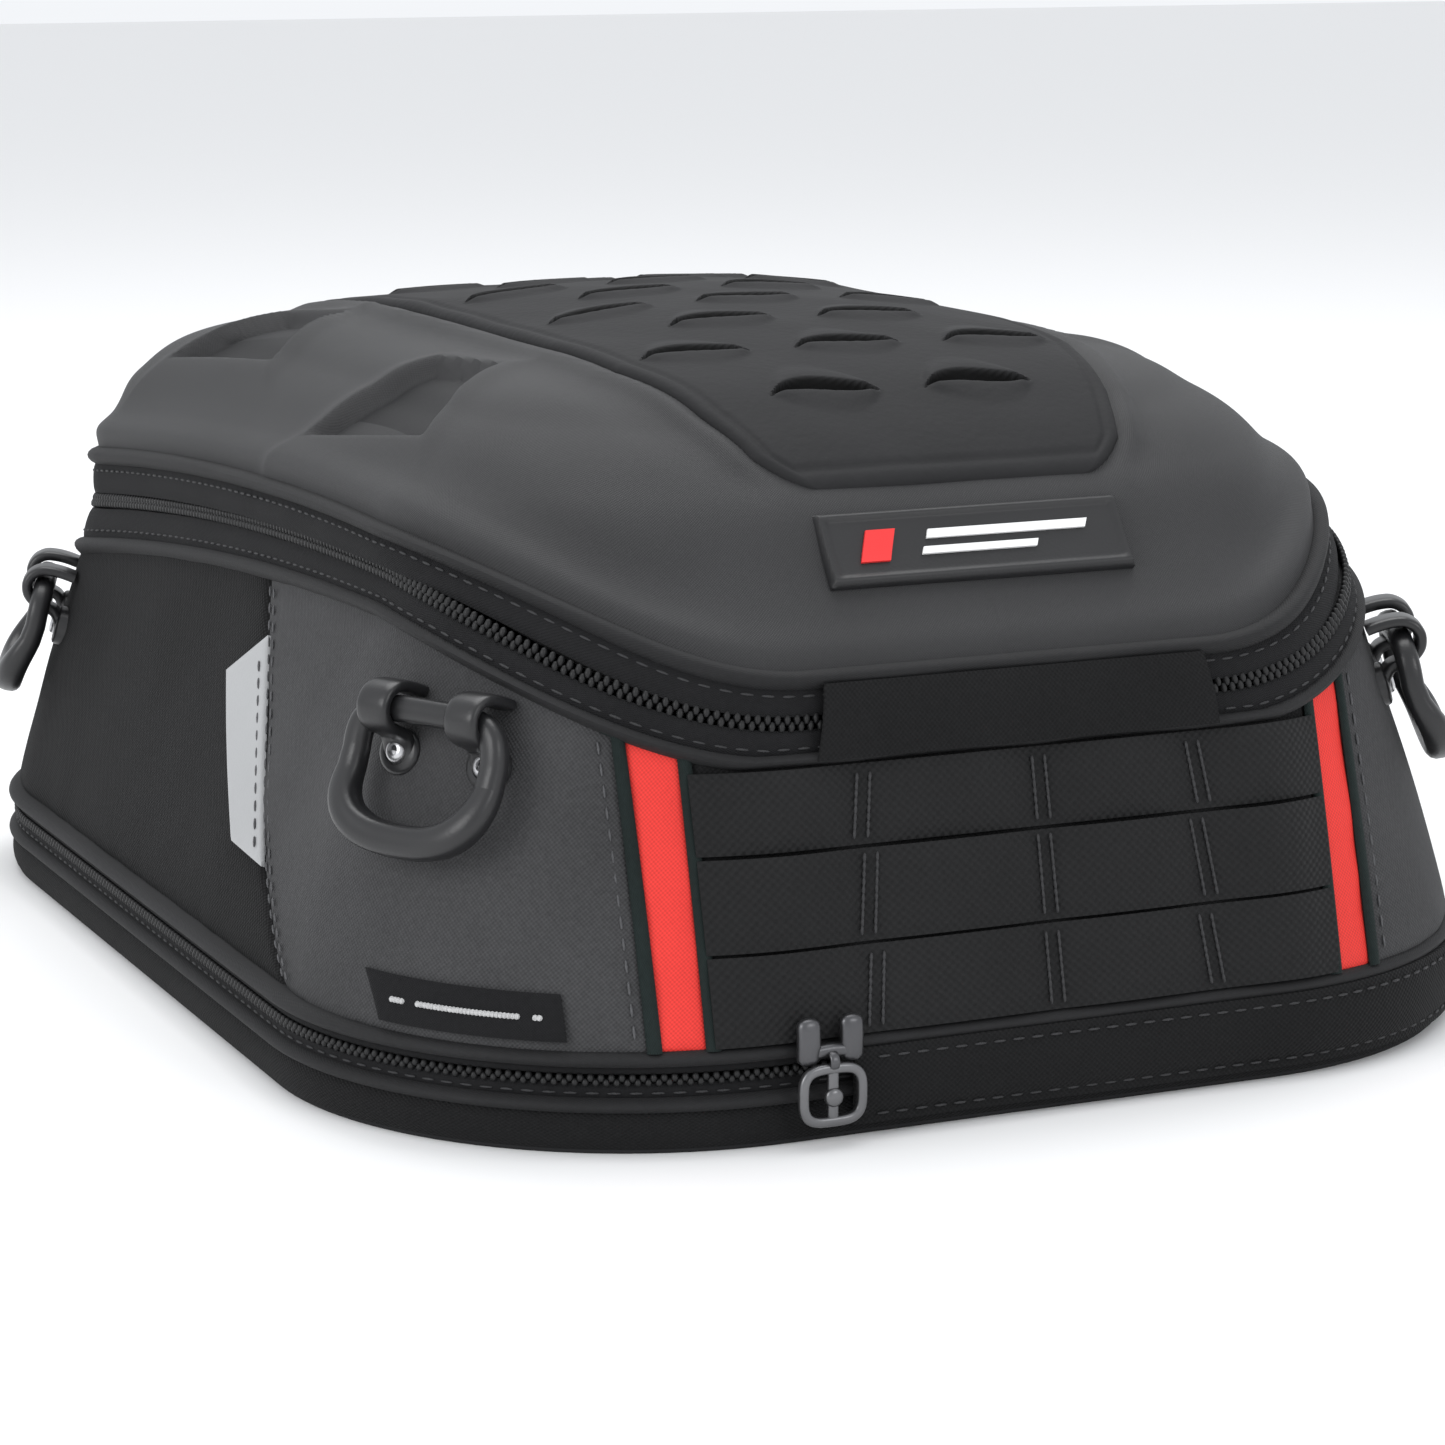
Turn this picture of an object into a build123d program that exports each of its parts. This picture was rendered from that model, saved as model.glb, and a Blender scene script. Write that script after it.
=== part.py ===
from build123d import *
import math
import os

# Soft-sided motorcycle tank bag: a stiff base with an expansion zip, padded
# walls, a moulded lid hinged at the webbing end, and four hanging strap rings.
# Millimetres. +Z up, origin on the resting face at the middle of the base.
# The webbing end faces -Y, and the lid hinges there and opens towards -Y.

# Base
BASE_WIDTH = 290.0
BASE_LENGTH = 380.0
BASE_CORNER = 86.0
UNDERLAY_TOP = 1.5
BOARD_TOP = 4.5
FLOOR_TOP = 8.0
BAND_TOP = 9.0
BASE_PIPING_TOP = 12.0
BASE_TAPE_TOP = 15.0
BASE_COIL_TOP = 17.0
UPPER_TAPE_FOOT = 17.1
UPPER_TAPE_TOP = 19.0
WALL_FOOT = 21.5
BAND_DEPTH = 6.0
GUSSET_DEPTH = 3.0

# Walls: (height, half width, front Y, rear Y, front corner radius, rear corner radius)
WALL_LEVELS = (
    (20.0, 142.6, -189.0, 188.6, 80.3, 80.3),
    (126.0, 108.9, -167.7, 156.8, 65.8, 45.0),
)
WALL_THICKNESS = 4.0
LINING_THICKNESS = 1.0

# Lid, from just under the zip up to the crown
LID_LEVELS = (
    (84.0, 122.3, -176.1, 169.4, 71.6, 59.0),
    (96.0, 118.5, -173.7, 165.8, 70.0, 55.0),
    (117.0, 114.5, -158.0, 162.0, 66.0, 46.0),
    (132.0, 106.5, -146.0, 154.0, 58.0, 42.0),
    (143.0, 92.5, -130.0, 138.0, 50.0, 41.0),
    (152.0, 73.0, -105.0, 82.0, 40.0, 40.0),
    (158.5, 36.0, -69.0, 34.0, 25.0, 28.0),
)
LID_THICKNESS = 4.0
LID_DROP = 3.0
PAD_THICKNESS = 2.0

# Main zip, seen from the side: it climbs from the webbing end round the front
# corners on one arc, then falls gently to the rear on another. Points are (Y, Z).
ZIP_FRONT = ((-176.0, 87.0), (-125.0, 108.9), (-95.0, 112.0))
ZIP_REAR = ((-95.0, 112.0), (46.0, 106.0), (180.0, 89.2))
ZIP_WIDER_AT_TOP = 1.15
ZIP_WIDER_AT_REAR = 1.8
COIL_HALF = 1.4
TAPE_GAP = 1.5
TAPE_EDGE = 6.2
PIPING_EDGE = 8.2
TAPE_PROUD = 1.5
COIL_PROUD = 2.0
PIPING_PROUD = 2.5

# Front end: webbing rows between two red strips, hinge flap and badge
FRONT_HALF = 76.0
STRIP_HALF = 88.0
WEBBING_ROWS = (("lower", 22.0, 40.5), ("middle", 41.5, 60.0), ("upper", 61.0, 78.0))
WEBBING_THICKNESS = 2.0
FLAP_HALF = 48.0
FLAP_LOW, FLAP_HIGH = 79.4, 94.8
BADGE_HALF = 37.5
BADGE_LOW, BADGE_HIGH = 112.5, 126.5

# Side panels end on a slanted line that sweeps forward at the foot (Y, Z).
# A reflective tab sticks out behind it.
PANEL_EDGE = ((60.0, 205.0), (-58.0, 56.0), (-84.0, 33.0), (-130.0, 14.0))
TAB_OUTLINE = ((-36.0, 88.0), (-22.0, 76.0), (-56.0, 44.0), (-72.0, 43.0))
LABEL_OUTER_X, LABEL_INNER_X = -133.0, -104.0
LABEL_LOW, LABEL_HIGH = 25.0, 33.0
REAR_HALF = 86.0

# Strap rings: (end, pivot height, angle of the wall's normal from the X axis, tilt of the wall)
RING_PLACES = (("front", 86.5, 27.0, 16.8), ("rear", 74.0, 18.0, 17.1))
RING_OFFSET = 7.5
RING_BAR = 3.0
RING_HALF = 23.0
RING_INNER = 16.5
RING_BOTTOM = 31.0
BORE_PLAY = 0.06
CLIP_HALF = 13.0
SCREW_X, SCREW_Y = 12.5, -9.0

# Zip sliders
BASE_SLIDER_X = -52.0
BASE_SLIDER_GAP = 1.6
BASE_AXLE_HEIGHT = 17.0
MAIN_SLIDER_X = 7.0
MAIN_SLIDER_Y = 171.8
MAIN_AXLE_HEIGHT = 85.0
MAIN_PULLER_LEAN = 17.0
SLIDER_AXLE = 1.2
SLIDER_THICKNESS = 3.6
AXLE_LOOP = 2.4

SPAN = 400.0
FAR = 250.0

os.makedirs("parts", exist_ok=True)
written = []


def save(builder, name):
    """Label a finished sub-part and write its STEP file."""
    builder.part.label = name
    export_step(builder.part, f"parts/{name}.step")
    written.append(name)


def tapered_form(levels, inset=0.0, drop=0.0):
    """Solid through rounded rectangles, moved in by inset and down by drop."""
    with BuildPart() as form:
        for height, half_width, front, rear, front_radius, rear_radius in levels:
            with BuildSketch(Plane.XY.offset(height - drop)) as section:
                with Locations((0, (front + rear) / 2)):
                    Rectangle(2 * (half_width - inset), rear - front - 2 * inset)
                fillet(section.vertices().group_by(Axis.Y)[0], front_radius - inset)
                fillet(section.vertices().group_by(Axis.Y)[-1], rear_radius - inset)
        loft(ruled=True)
    return form.part


def raised(points, rise, stretch):
    """Points of one zip arc moved up, a little more towards its stretched end."""
    count = len(points) - 1
    shares = [stretch[0] + (stretch[1] - stretch[0]) * i / count for i in range(count + 1)]
    return [(y, z + rise * share) for (y, z), share in zip(points, shares)]


def under_arch(rise):
    """Everything below the zip line moved up by rise."""
    front = raised(ZIP_FRONT, rise, (1.0, ZIP_WIDER_AT_TOP))
    rear = raised(ZIP_REAR, rise, (ZIP_WIDER_AT_TOP, ZIP_WIDER_AT_REAR))
    level_rear = (FAR, rear[2][1])
    level_front = (-FAR, front[0][1])
    with BuildPart() as block:
        with BuildSketch(Plane.YZ):
            with BuildLine():
                ThreePointArc(*front)
                ThreePointArc(*rear)
                Polyline(rear[2], level_rear, (FAR, -FAR), (-FAR, -FAR), level_front, front[0])
            make_face()
        extrude(amount=SPAN, both=True)
    return block.part


def side_prism(points):
    """Prism along X over a polygon of (Y, Z) points."""
    with BuildPart() as prism:
        with BuildSketch(Plane.YZ):
            with BuildLine():
                Polyline(*points, close=True)
            make_face()
        extrude(amount=SPAN, both=True)
    return prism.part


def block(x_low, x_high, y_low, y_high, z_low, z_high):
    """Plain block between two corners, used only to trim other solids."""
    with BuildPart() as solid:
        with BuildSketch(Plane.XY.offset(z_low)):
            with Locations(((x_low + x_high) / 2, (y_low + y_high) / 2)):
                Rectangle(x_high - x_low, y_high - y_low)
        extrude(amount=z_high - z_low)
    return solid.part


def trimmed(outer, inner, *zones):
    """Skin between two forms, kept only inside every zone."""
    with BuildPart() as skin:
        add(outer)
        add(inner, mode=Mode.SUBTRACT)
        for zone in zones:
            add(zone, mode=Mode.INTERSECT)
    return skin.part


def kept_inside(solid, *zones):
    """The part of a solid that lies inside every zone."""
    with BuildPart() as rest:
        add(solid)
        for zone in zones:
            add(zone, mode=Mode.INTERSECT)
    return rest.part


def arch_zone(low, high):
    """Band between two heights above the zip line."""
    with BuildPart() as zone:
        add(under_arch(high))
        add(under_arch(low), mode=Mode.SUBTRACT)
    return zone.part


def base_outline(inset):
    """Plan outline of the base, moved in by inset. Call inside a sketch."""
    return RectangleRounded(BASE_WIDTH - 2 * inset, BASE_LENGTH - 2 * inset, BASE_CORNER - inset)


def slab(name, inset, low, high):
    """Full plate with the base outline."""
    with BuildPart() as plate:
        with BuildSketch(Plane.XY.offset(low)):
            base_outline(inset)
        extrude(amount=high - low)
    save(plate, name)


def loop_band(name, inset_out, inset_in, low, high):
    """Closed band that follows the base outline."""
    with BuildPart() as band:
        with BuildSketch(Plane.XY.offset(low)):
            base_outline(inset_out)
            RectangleRounded(BASE_WIDTH - 2 * inset_in, BASE_LENGTH - 2 * inset_in,
                             BASE_CORNER - inset_in, mode=Mode.SUBTRACT)
        extrude(amount=high - low)
    save(band, name)


def piece(name, solid):
    """Named sub-part made from one trimmed skin."""
    with BuildPart() as sub_part:
        add(solid)
    save(sub_part, name)


# ---------------------------------------------------------------- base

slab("anti_slip_underlay", 1.0, 0.0, UNDERLAY_TOP)
slab("base_board", BAND_DEPTH, UNDERLAY_TOP, BOARD_TOP)
slab("floor_pad", BAND_DEPTH + GUSSET_DEPTH + 0.5, BOARD_TOP, FLOOR_TOP)
loop_band("base_band", 1.0, BAND_DEPTH, UNDERLAY_TOP, BAND_TOP)
loop_band("base_piping", 0.0, BAND_DEPTH, BAND_TOP, BASE_PIPING_TOP)
loop_band("base_zip_tape", 1.5, BAND_DEPTH, BASE_PIPING_TOP, BASE_TAPE_TOP)
loop_band("base_zip_coil", 0.8, BAND_DEPTH, BASE_TAPE_TOP, BASE_COIL_TOP)
loop_band("expansion_gusset", BAND_DEPTH + 0.3, BAND_DEPTH + GUSSET_DEPTH, BOARD_TOP, BASE_COIL_TOP + 1.5)

# ---------------------------------------------------------------- foot of the upper body

loop_band("upper_base_tape", 1.5, BAND_DEPTH, UPPER_TAPE_FOOT, UPPER_TAPE_TOP)
loop_band("foot_piping", 0.5, BAND_DEPTH + GUSSET_DEPTH + 2.0, UPPER_TAPE_TOP, WALL_FOOT)

# ---------------------------------------------------------------- walls

wall_outer = tapered_form(WALL_LEVELS)
wall_inner = tapered_form(WALL_LEVELS, WALL_THICKNESS)
wall_zone = under_arch(-TAPE_GAP)
above_foot = block(-FAR, FAR, -FAR, FAR, WALL_FOOT, FAR)
wall_shell = trimmed(wall_outer, wall_inner, wall_zone, above_foot)

edge_top, edge_knee, edge_sweep, edge_foot = PANEL_EDGE
panel_sides = []
for corner_y in (-FAR, FAR):
    with BuildPart() as panel_side:
        with BuildSketch(Plane.YZ):
            with BuildLine():
                Line(edge_top, edge_knee)
                ThreePointArc(edge_knee, edge_sweep, edge_foot)
                Polyline(edge_foot, (corner_y, edge_foot[1]), (corner_y, edge_top[1]), edge_top)
            make_face()
        extrude(amount=SPAN, both=True)
    panel_sides.append(panel_side.part)
behind_panel_edge, ahead_of_edge = panel_sides[1], panel_sides[0]

front_zone = block(-FRONT_HALF, FRONT_HALF, -FAR, 0.0, 0.0, FAR)
piece("front_panel", kept_inside(wall_shell, front_zone))

lining_inner = tapered_form(WALL_LEVELS, WALL_THICKNESS + LINING_THICKNESS)
piece("inner_lining", trimmed(wall_inner, lining_inner, wall_zone, above_foot))

for side, sign in (("left", -1), ("right", 1)):
    strip_x = sorted((sign * FRONT_HALF, sign * STRIP_HALF))
    outer_x = sorted((sign * STRIP_HALF, sign * FAR))
    rear_x = sorted((sign * REAR_HALF, sign * FAR))
    strip_zone = block(*strip_x, -FAR, 0.0, 0.0, FAR)
    side_zone = block(*outer_x, -FAR, FAR, 0.0, FAR)
    rear_side_zone = block(*rear_x, -FAR, FAR, 0.0, FAR)
    piece(f"red_strip_{side}", kept_inside(wall_shell, strip_zone))
    piece(f"side_panel_{side}", kept_inside(wall_shell, ahead_of_edge, side_zone))
    piece(f"rear_side_wall_{side}", kept_inside(wall_shell, behind_panel_edge, rear_side_zone))

rear_zone = block(-REAR_HALF, REAR_HALF, 0.0, FAR, 0.0, FAR)
piece("rear_panel", kept_inside(wall_shell, rear_zone))

# Webbing rows across the front panel
webbing_face = tapered_form(WALL_LEVELS, -WEBBING_THICKNESS)
for row, low, high in WEBBING_ROWS:
    row_zone = block(-FRONT_HALF, FRONT_HALF, -FAR, 0.0, low, high)
    piece(f"webbing_{row}", trimmed(webbing_face, wall_outer, row_zone))

# Reflective tabs behind the side panels, and a woven label on the left panel
tab_face = tapered_form(WALL_LEVELS, -0.8)
tab_zone = side_prism(TAB_OUTLINE)
for side, sign in (("left", -1), ("right", 1)):
    half = block(*sorted((sign * REAR_HALF, sign * FAR)), -FAR, FAR, 0.0, FAR)
    piece(f"reflective_tab_{side}", trimmed(tab_face, wall_outer, tab_zone, half))
label_zone = block(LABEL_OUTER_X, LABEL_INNER_X, -FAR, 0.0, LABEL_LOW, LABEL_HIGH)
piece("woven_label", trimmed(tab_face, wall_outer, label_zone))

# ---------------------------------------------------------------- main zip

tape_face = tapered_form(WALL_LEVELS, -TAPE_PROUD)
piping_face = tapered_form(WALL_LEVELS, -PIPING_PROUD)
coil_face = tapered_form(WALL_LEVELS, -COIL_PROUD)
piece("body_zip_tape", trimmed(tape_face, wall_outer, arch_zone(-TAPE_EDGE, -TAPE_GAP)))
piece("body_zip_piping", trimmed(piping_face, wall_outer, arch_zone(-PIPING_EDGE, -TAPE_EDGE)))
piece("main_zip_coil", trimmed(coil_face, lining_inner, arch_zone(-COIL_HALF, COIL_HALF)))

flap_outer = tapered_form(WALL_LEVELS, -PIPING_PROUD - 1.2)
flap_inner = tapered_form(WALL_LEVELS, -PIPING_PROUD - 0.2)
flap_zone = block(-FLAP_HALF, FLAP_HALF, -FAR, 0.0, FLAP_LOW, FLAP_HIGH)
piece("hinge_flap", trimmed(flap_outer, flap_inner, flap_zone))

# ---------------------------------------------------------------- lid

lid_outer = tapered_form(LID_LEVELS)
lid_inner = tapered_form(LID_LEVELS, LID_THICKNESS, LID_DROP)
above_zip = arch_zone(TAPE_GAP, FAR)
lid_skin = trimmed(lid_outer, lid_inner, above_zip)

RECESS_CORNERS = ((105.0, -22.0), (80.0, -38.0), (75.0, -63.0), (98.0, -78.0))
recess_floor = tapered_form(LID_LEVELS, 2.0, 1.5)
with BuildPart() as recess_prisms:
    with BuildSketch(Plane.XY.offset(80.0)):
        for sign in (-1, 1):
            for shift_x, shift_y in ((0.0, 0.0), (-5.0, 122.0)):
                with BuildLine():
                    Polyline(*[(sign * (x + shift_x), y + shift_y) for x, y in RECESS_CORNERS], close=True)
                make_face()
    extrude(amount=120.0)
recess_pockets = trimmed(lid_outer, recess_floor, recess_prisms.part)

with BuildPart() as lid_shell:
    add(lid_skin)
    add(recess_pockets, mode=Mode.SUBTRACT)
save(lid_shell, "lid_shell")

lid_lining_inner = tapered_form(LID_LEVELS, LID_THICKNESS + LINING_THICKNESS, LID_DROP + LINING_THICKNESS)
piece("lid_lining", trimmed(lid_inner, lid_lining_inner, above_zip))

POCKET_HEIGHT, POCKET_THICKNESS = 131.0, 0.8
with BuildPart() as lid_mesh_pocket:
    add(lid_lining_inner)
    add(block(-FAR, FAR, -60.0, 95.0, POCKET_HEIGHT, POCKET_HEIGHT + POCKET_THICKNESS), mode=Mode.INTERSECT)
save(lid_mesh_pocket, "lid_mesh_pocket")

piece("lid_zip_tape", trimmed(tapered_form(LID_LEVELS, -TAPE_PROUD), lid_outer, arch_zone(TAPE_GAP, TAPE_EDGE)))
piece("lid_piping", trimmed(tapered_form(LID_LEVELS, -PIPING_PROUD), lid_outer, arch_zone(TAPE_EDGE, PIPING_EDGE)))

# Top pad, wider towards the rear, with staggered lens-shaped slots
PAD_EDGE = ((34.0, -147.0), (44.0, -139.0), (51.0, -124.0), (58.0, -94.0), (60.0, -60.0), (60.0, 30.0), (57.0, 122.0))
PAD_CORNERS = PAD_EDGE + tuple((-x, y) for x, y in reversed(PAD_EDGE))
SLOT_LENGTH, SLOT_SAG = 26.0, 4.0
SLOT_ROWS, FIRST_SLOT_Y, SLOT_PITCH = 9, -121.0, 27.5
SLOT_STEP = 19.0
with BuildPart() as pad_prism:
    with BuildSketch(Plane.XY.offset(80.0)):
        with BuildLine():
            Polyline(*PAD_CORNERS, close=True)
        make_face()
    extrude(amount=120.0)
with BuildPart() as slot_prisms:
    with BuildSketch(Plane.XY.offset(80.0)):
        for row in range(SLOT_ROWS):
            slot_y = FIRST_SLOT_Y + SLOT_PITCH * row
            for steps in ((-1, 1) if row % 2 == 0 else (-2, 0, 2)):
                slot_x = SLOT_STEP * steps
                with BuildLine():
                    left = (slot_x - SLOT_LENGTH / 2, slot_y)
                    right = (slot_x + SLOT_LENGTH / 2, slot_y)
                    ThreePointArc(left, (slot_x, slot_y + SLOT_SAG), right)
                    ThreePointArc(right, (slot_x, slot_y - SLOT_SAG), left)
                make_face()
    extrude(amount=120.0)
pad_face = tapered_form(LID_LEVELS, -PAD_THICKNESS / 2, -PAD_THICKNESS)
with BuildPart() as top_pad:
    add(trimmed(pad_face, lid_outer, pad_prism.part))
    add(slot_prisms.part, mode=Mode.SUBTRACT)
save(top_pad, "top_pad")

badge_zone = block(-BADGE_HALF, BADGE_HALF, -FAR, 0.0, BADGE_LOW, BADGE_HIGH)
badge_face = tapered_form(LID_LEVELS, -1.6)
piece("lid_badge", trimmed(badge_face, lid_outer, badge_zone))

# ---------------------------------------------------------------- strap rings


def wall_size(height):
    """Half width, front Y, rear Y and both corner radii of the wall at a height."""
    low, high = WALL_LEVELS
    share = (height - low[0]) / (high[0] - low[0])
    return [a + (b - a) * share for a, b in zip(low[1:], high[1:])]


def ring_plane(end, side, height, angle, tilt):
    """Plane on a wall corner: x along the pivot bar, y up the wall, z outwards."""
    half_width, front, rear, front_radius, rear_radius = wall_size(height)
    radius = front_radius if end == "front" else rear_radius
    side_sign = -1 if side == "left" else 1
    end_sign = -1 if end == "front" else 1
    reach = front if end == "front" else rear
    turn = math.radians(angle)
    centre_x = side_sign * (half_width - radius)
    centre_y = reach - end_sign * radius
    level = Vector(side_sign * math.cos(turn), end_sign * math.sin(turn), 0)
    lean = math.radians(tilt)
    normal = level * math.cos(lean) + Vector(0, 0, math.sin(lean))
    bar = Vector(-level.Y, level.X, 0)
    origin = Vector(centre_x, centre_y, height) + level * radius
    return Plane(origin=origin, x_dir=bar, z_dir=normal)


def across(plane):
    """Plane at the same origin, seen along the pivot bar: x outwards, y up the wall."""
    return Plane(origin=plane.origin, x_dir=plane.z_dir, z_dir=-plane.x_dir)


def make_ring(name, plane):
    """Moulded loop with a straight pivot bar and a hooked lower end."""
    side_view = across(plane)
    with BuildPart() as outline:
        with BuildSketch(plane):
            with Locations((0, -(RING_BOTTOM - RING_HALF) / 2)):
                Rectangle(2 * RING_HALF, RING_BOTTOM - RING_HALF)
            with Locations((0, -(RING_BOTTOM - RING_HALF))):
                Circle(RING_HALF)
                Circle(RING_INNER, mode=Mode.SUBTRACT)
            with Locations((0, -(RING_BOTTOM - RING_HALF) / 2)):
                Rectangle(2 * RING_INNER, RING_BOTTOM - RING_HALF, mode=Mode.SUBTRACT)
        extrude(amount=20.0)
    with BuildPart() as ring:
        with BuildSketch(side_view):
            with BuildLine():
                Polyline((RING_OFFSET - 3.0, 0.0), (RING_OFFSET - 3.0, -22.0), (RING_OFFSET - 2.0, -34.0),
                         (RING_OFFSET + 5.5, -34.0), (RING_OFFSET + 7.0, -28.0), (RING_OFFSET + 2.5, -17.0),
                         (RING_OFFSET + 3.0, 0.0), close=True)
            make_face()
        extrude(amount=RING_HALF + 1.0, both=True)
        add(outline.part, mode=Mode.INTERSECT)
        with BuildSketch(side_view):
            with Locations((RING_OFFSET, 0.0)):
                Circle(RING_BAR)
        extrude(amount=RING_HALF, both=True)
    save(ring, name)


def make_clip(name, plane):
    """Saddle that holds the ring's bar, shaped to the wall behind it."""
    side_view = across(plane)
    with BuildPart() as clip:
        with BuildSketch(plane.offset(-6.0)):
            with Locations((0, -5.0)):
                RectangleRounded(2 * (CLIP_HALF + 3.0), 18.0, 3.0)
        extrude(amount=8.0)
        with BuildSketch(side_view):
            with Locations((RING_OFFSET, 0.0)):
                Circle(RING_BAR + 2.2)
            with Locations((RING_OFFSET / 2, 0.0)):
                Rectangle(RING_OFFSET, 2 * (RING_BAR + 2.2))
        extrude(amount=CLIP_HALF, both=True)
        with BuildSketch(side_view):
            with Locations((RING_OFFSET, 0.0)):
                Circle(RING_BAR + BORE_PLAY)
        extrude(amount=2 * RING_HALF, both=True, mode=Mode.SUBTRACT)
        add(wall_outer, mode=Mode.SUBTRACT)
    save(clip, name)


screw_planes = []
for end, height, angle, tilt in RING_PLACES:
    for side in ("left", "right"):
        plane = ring_plane(end, side, height, angle, tilt)
        make_ring(f"strap_ring_{end}_{side}", plane)
        make_clip(f"ring_clip_{end}_{side}", plane)
        screw_planes.append(plane)

with BuildPart() as ring_screws:
    for plane in screw_planes:
        with BuildSketch(plane.offset(2.0)):
            with Locations((-SCREW_X, SCREW_Y), (SCREW_X, SCREW_Y)):
                Circle(2.6)
        extrude(amount=1.3)
save(ring_screws, "ring_screws")

# ---------------------------------------------------------------- zip sliders and pullers


def seen_along_x(x, y, z):
    """Plane across X at a point: x towards -Y, y down."""
    return Plane(origin=(x, y, z), x_dir=(0, -1, 0), z_dir=(1, 0, 0))


def make_slider(name, face, axle_view, half_width, height, notch, axle_reach):
    """Zip slider body lying on a face, with a small axle loop at its lower edge."""
    with BuildPart() as slider:
        with BuildSketch(face):
            with Locations((0, height / 2 + 1.8)):
                RectangleRounded(2 * half_width, height, 1.8)
            with Locations((0, height - notch / 2 + 1.8)):
                Rectangle(half_width / 2, notch, mode=Mode.SUBTRACT)
        extrude(amount=SLIDER_THICKNESS)
        with BuildSketch(axle_view):
            with Locations((axle_reach, 0)):
                Circle(AXLE_LOOP)
            with Locations((axle_reach / 2, -AXLE_LOOP / 2)):
                Rectangle(axle_reach, AXLE_LOOP)
        extrude(amount=AXLE_LOOP, both=True)
        with BuildSketch(axle_view):
            with Locations((axle_reach, 0)):
                Circle(SLIDER_AXLE + BORE_PLAY)
        extrude(amount=half_width, both=True, mode=Mode.SUBTRACT)
    save(slider, name)


def make_puller(name, face, axle_view, half_width, length, axle_reach):
    """Hanging pull: an open frame on the axle that closes into a solid tip."""
    window_half = AXLE_LOOP + 0.4
    with BuildPart() as puller:
        with BuildSketch(face.offset(axle_reach - SLIDER_AXLE)):
            with Locations((0, 0.8 - length / 2)):
                RectangleRounded(2 * half_width, length, 1.8)
            with Locations((0, 0.2 - AXLE_LOOP)):
                Rectangle(2 * window_half, 2 * AXLE_LOOP + 3.0, mode=Mode.SUBTRACT)
        extrude(amount=2 * SLIDER_AXLE)
        with BuildSketch(axle_view):
            with Locations((axle_reach, 0)):
                Circle(SLIDER_AXLE)
        extrude(amount=half_width - 1.0, both=True)
    save(puller, name)


band_front = Plane(origin=(BASE_SLIDER_X, -BASE_LENGTH / 2 - BASE_SLIDER_GAP, BASE_AXLE_HEIGHT),
                   x_dir=(1, 0, 0), z_dir=(0, -1, 0))
base_axle_view = seen_along_x(BASE_SLIDER_X, band_front.origin.Y, BASE_AXLE_HEIGHT)
make_slider("base_zip_slider", band_front, base_axle_view, 8.0, 8.5, 5.0, 3.2)
make_puller("base_zip_puller", band_front, base_axle_view, 8.0, 13.0, 3.2)

for side, sign in (("left", -1), ("right", 1)):
    face = Plane(origin=(sign * MAIN_SLIDER_X, MAIN_SLIDER_Y, MAIN_AXLE_HEIGHT), x_dir=(-1, 0, 0), z_dir=(0, 1, 0))
    axle_view = Plane(origin=face.origin, x_dir=(0, 1, 0), z_dir=(-1, 0, 0))
    make_slider(f"main_zip_slider_{side}", face, axle_view, 5.0, 8.5, 3.0, 3.4)
    hang = math.radians(MAIN_PULLER_LEAN)
    axle = face.origin + Vector(0, 3.4, 0)
    outward = Vector(0, math.cos(hang), math.sin(hang))
    pull_face = Plane(origin=axle - outward * 3.4, x_dir=(-1, 0, 0), z_dir=outward)
    pull_view = Plane(origin=pull_face.origin, x_dir=outward, z_dir=(-1, 0, 0))
    make_puller(f"main_zip_puller_{side}", pull_face, pull_view, 4.0, 26.0, 3.4)

print(len(written), "sub-parts")
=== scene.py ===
import math

import bpy
import numpy as np
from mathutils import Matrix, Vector


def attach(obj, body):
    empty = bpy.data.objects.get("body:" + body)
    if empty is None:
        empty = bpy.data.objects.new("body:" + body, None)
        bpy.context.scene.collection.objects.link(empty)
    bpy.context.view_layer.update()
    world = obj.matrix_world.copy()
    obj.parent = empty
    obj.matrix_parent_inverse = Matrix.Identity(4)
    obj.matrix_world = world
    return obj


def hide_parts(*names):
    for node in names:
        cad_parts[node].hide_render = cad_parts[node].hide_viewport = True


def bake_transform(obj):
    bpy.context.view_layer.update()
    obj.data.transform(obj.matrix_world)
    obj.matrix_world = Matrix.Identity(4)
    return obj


# Motorcycle tank bag: padded walls, moulded lid with a slotted pad, zips, webbing
# and strap rings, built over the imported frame. Helpers work in millimetres.

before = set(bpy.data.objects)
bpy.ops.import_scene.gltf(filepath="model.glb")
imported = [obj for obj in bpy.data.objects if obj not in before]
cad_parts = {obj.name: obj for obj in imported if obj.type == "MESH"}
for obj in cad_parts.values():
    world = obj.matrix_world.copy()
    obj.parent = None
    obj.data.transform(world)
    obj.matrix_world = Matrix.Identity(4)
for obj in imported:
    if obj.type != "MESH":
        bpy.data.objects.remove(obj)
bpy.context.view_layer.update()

# ---------------------------------------------------------------- dimensions

WALL_LEVELS = ((0.0, 148.96, -193.02, 194.6, 83.04, 86.96), (150.0, 101.27, -162.88, 149.6, 62.52, 37.01))
LID_LEVELS = ((84.0, 122.3, -176.1, 169.4, 71.6, 59.0), (96.0, 118.5, -173.7, 165.8, 70.0, 55.0),
              (117.0, 114.5, -158.0, 162.0, 66.0, 46.0), (132.0, 106.5, -146.0, 154.0, 58.0, 42.0),
              (143.0, 92.5, -130.0, 138.0, 50.0, 41.0), (152.0, 73.0, -105.0, 82.0, 40.0, 40.0),
              (157.6, 36.0, -69.0, 34.0, 25.0, 28.0))
BASE_LEVELS = ((0.0, 145.0, -190.0, 190.0, 86.0, 86.0), (30.0, 145.0, -190.0, 190.0, 86.0, 86.0))
CROWN = 157.6
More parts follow.
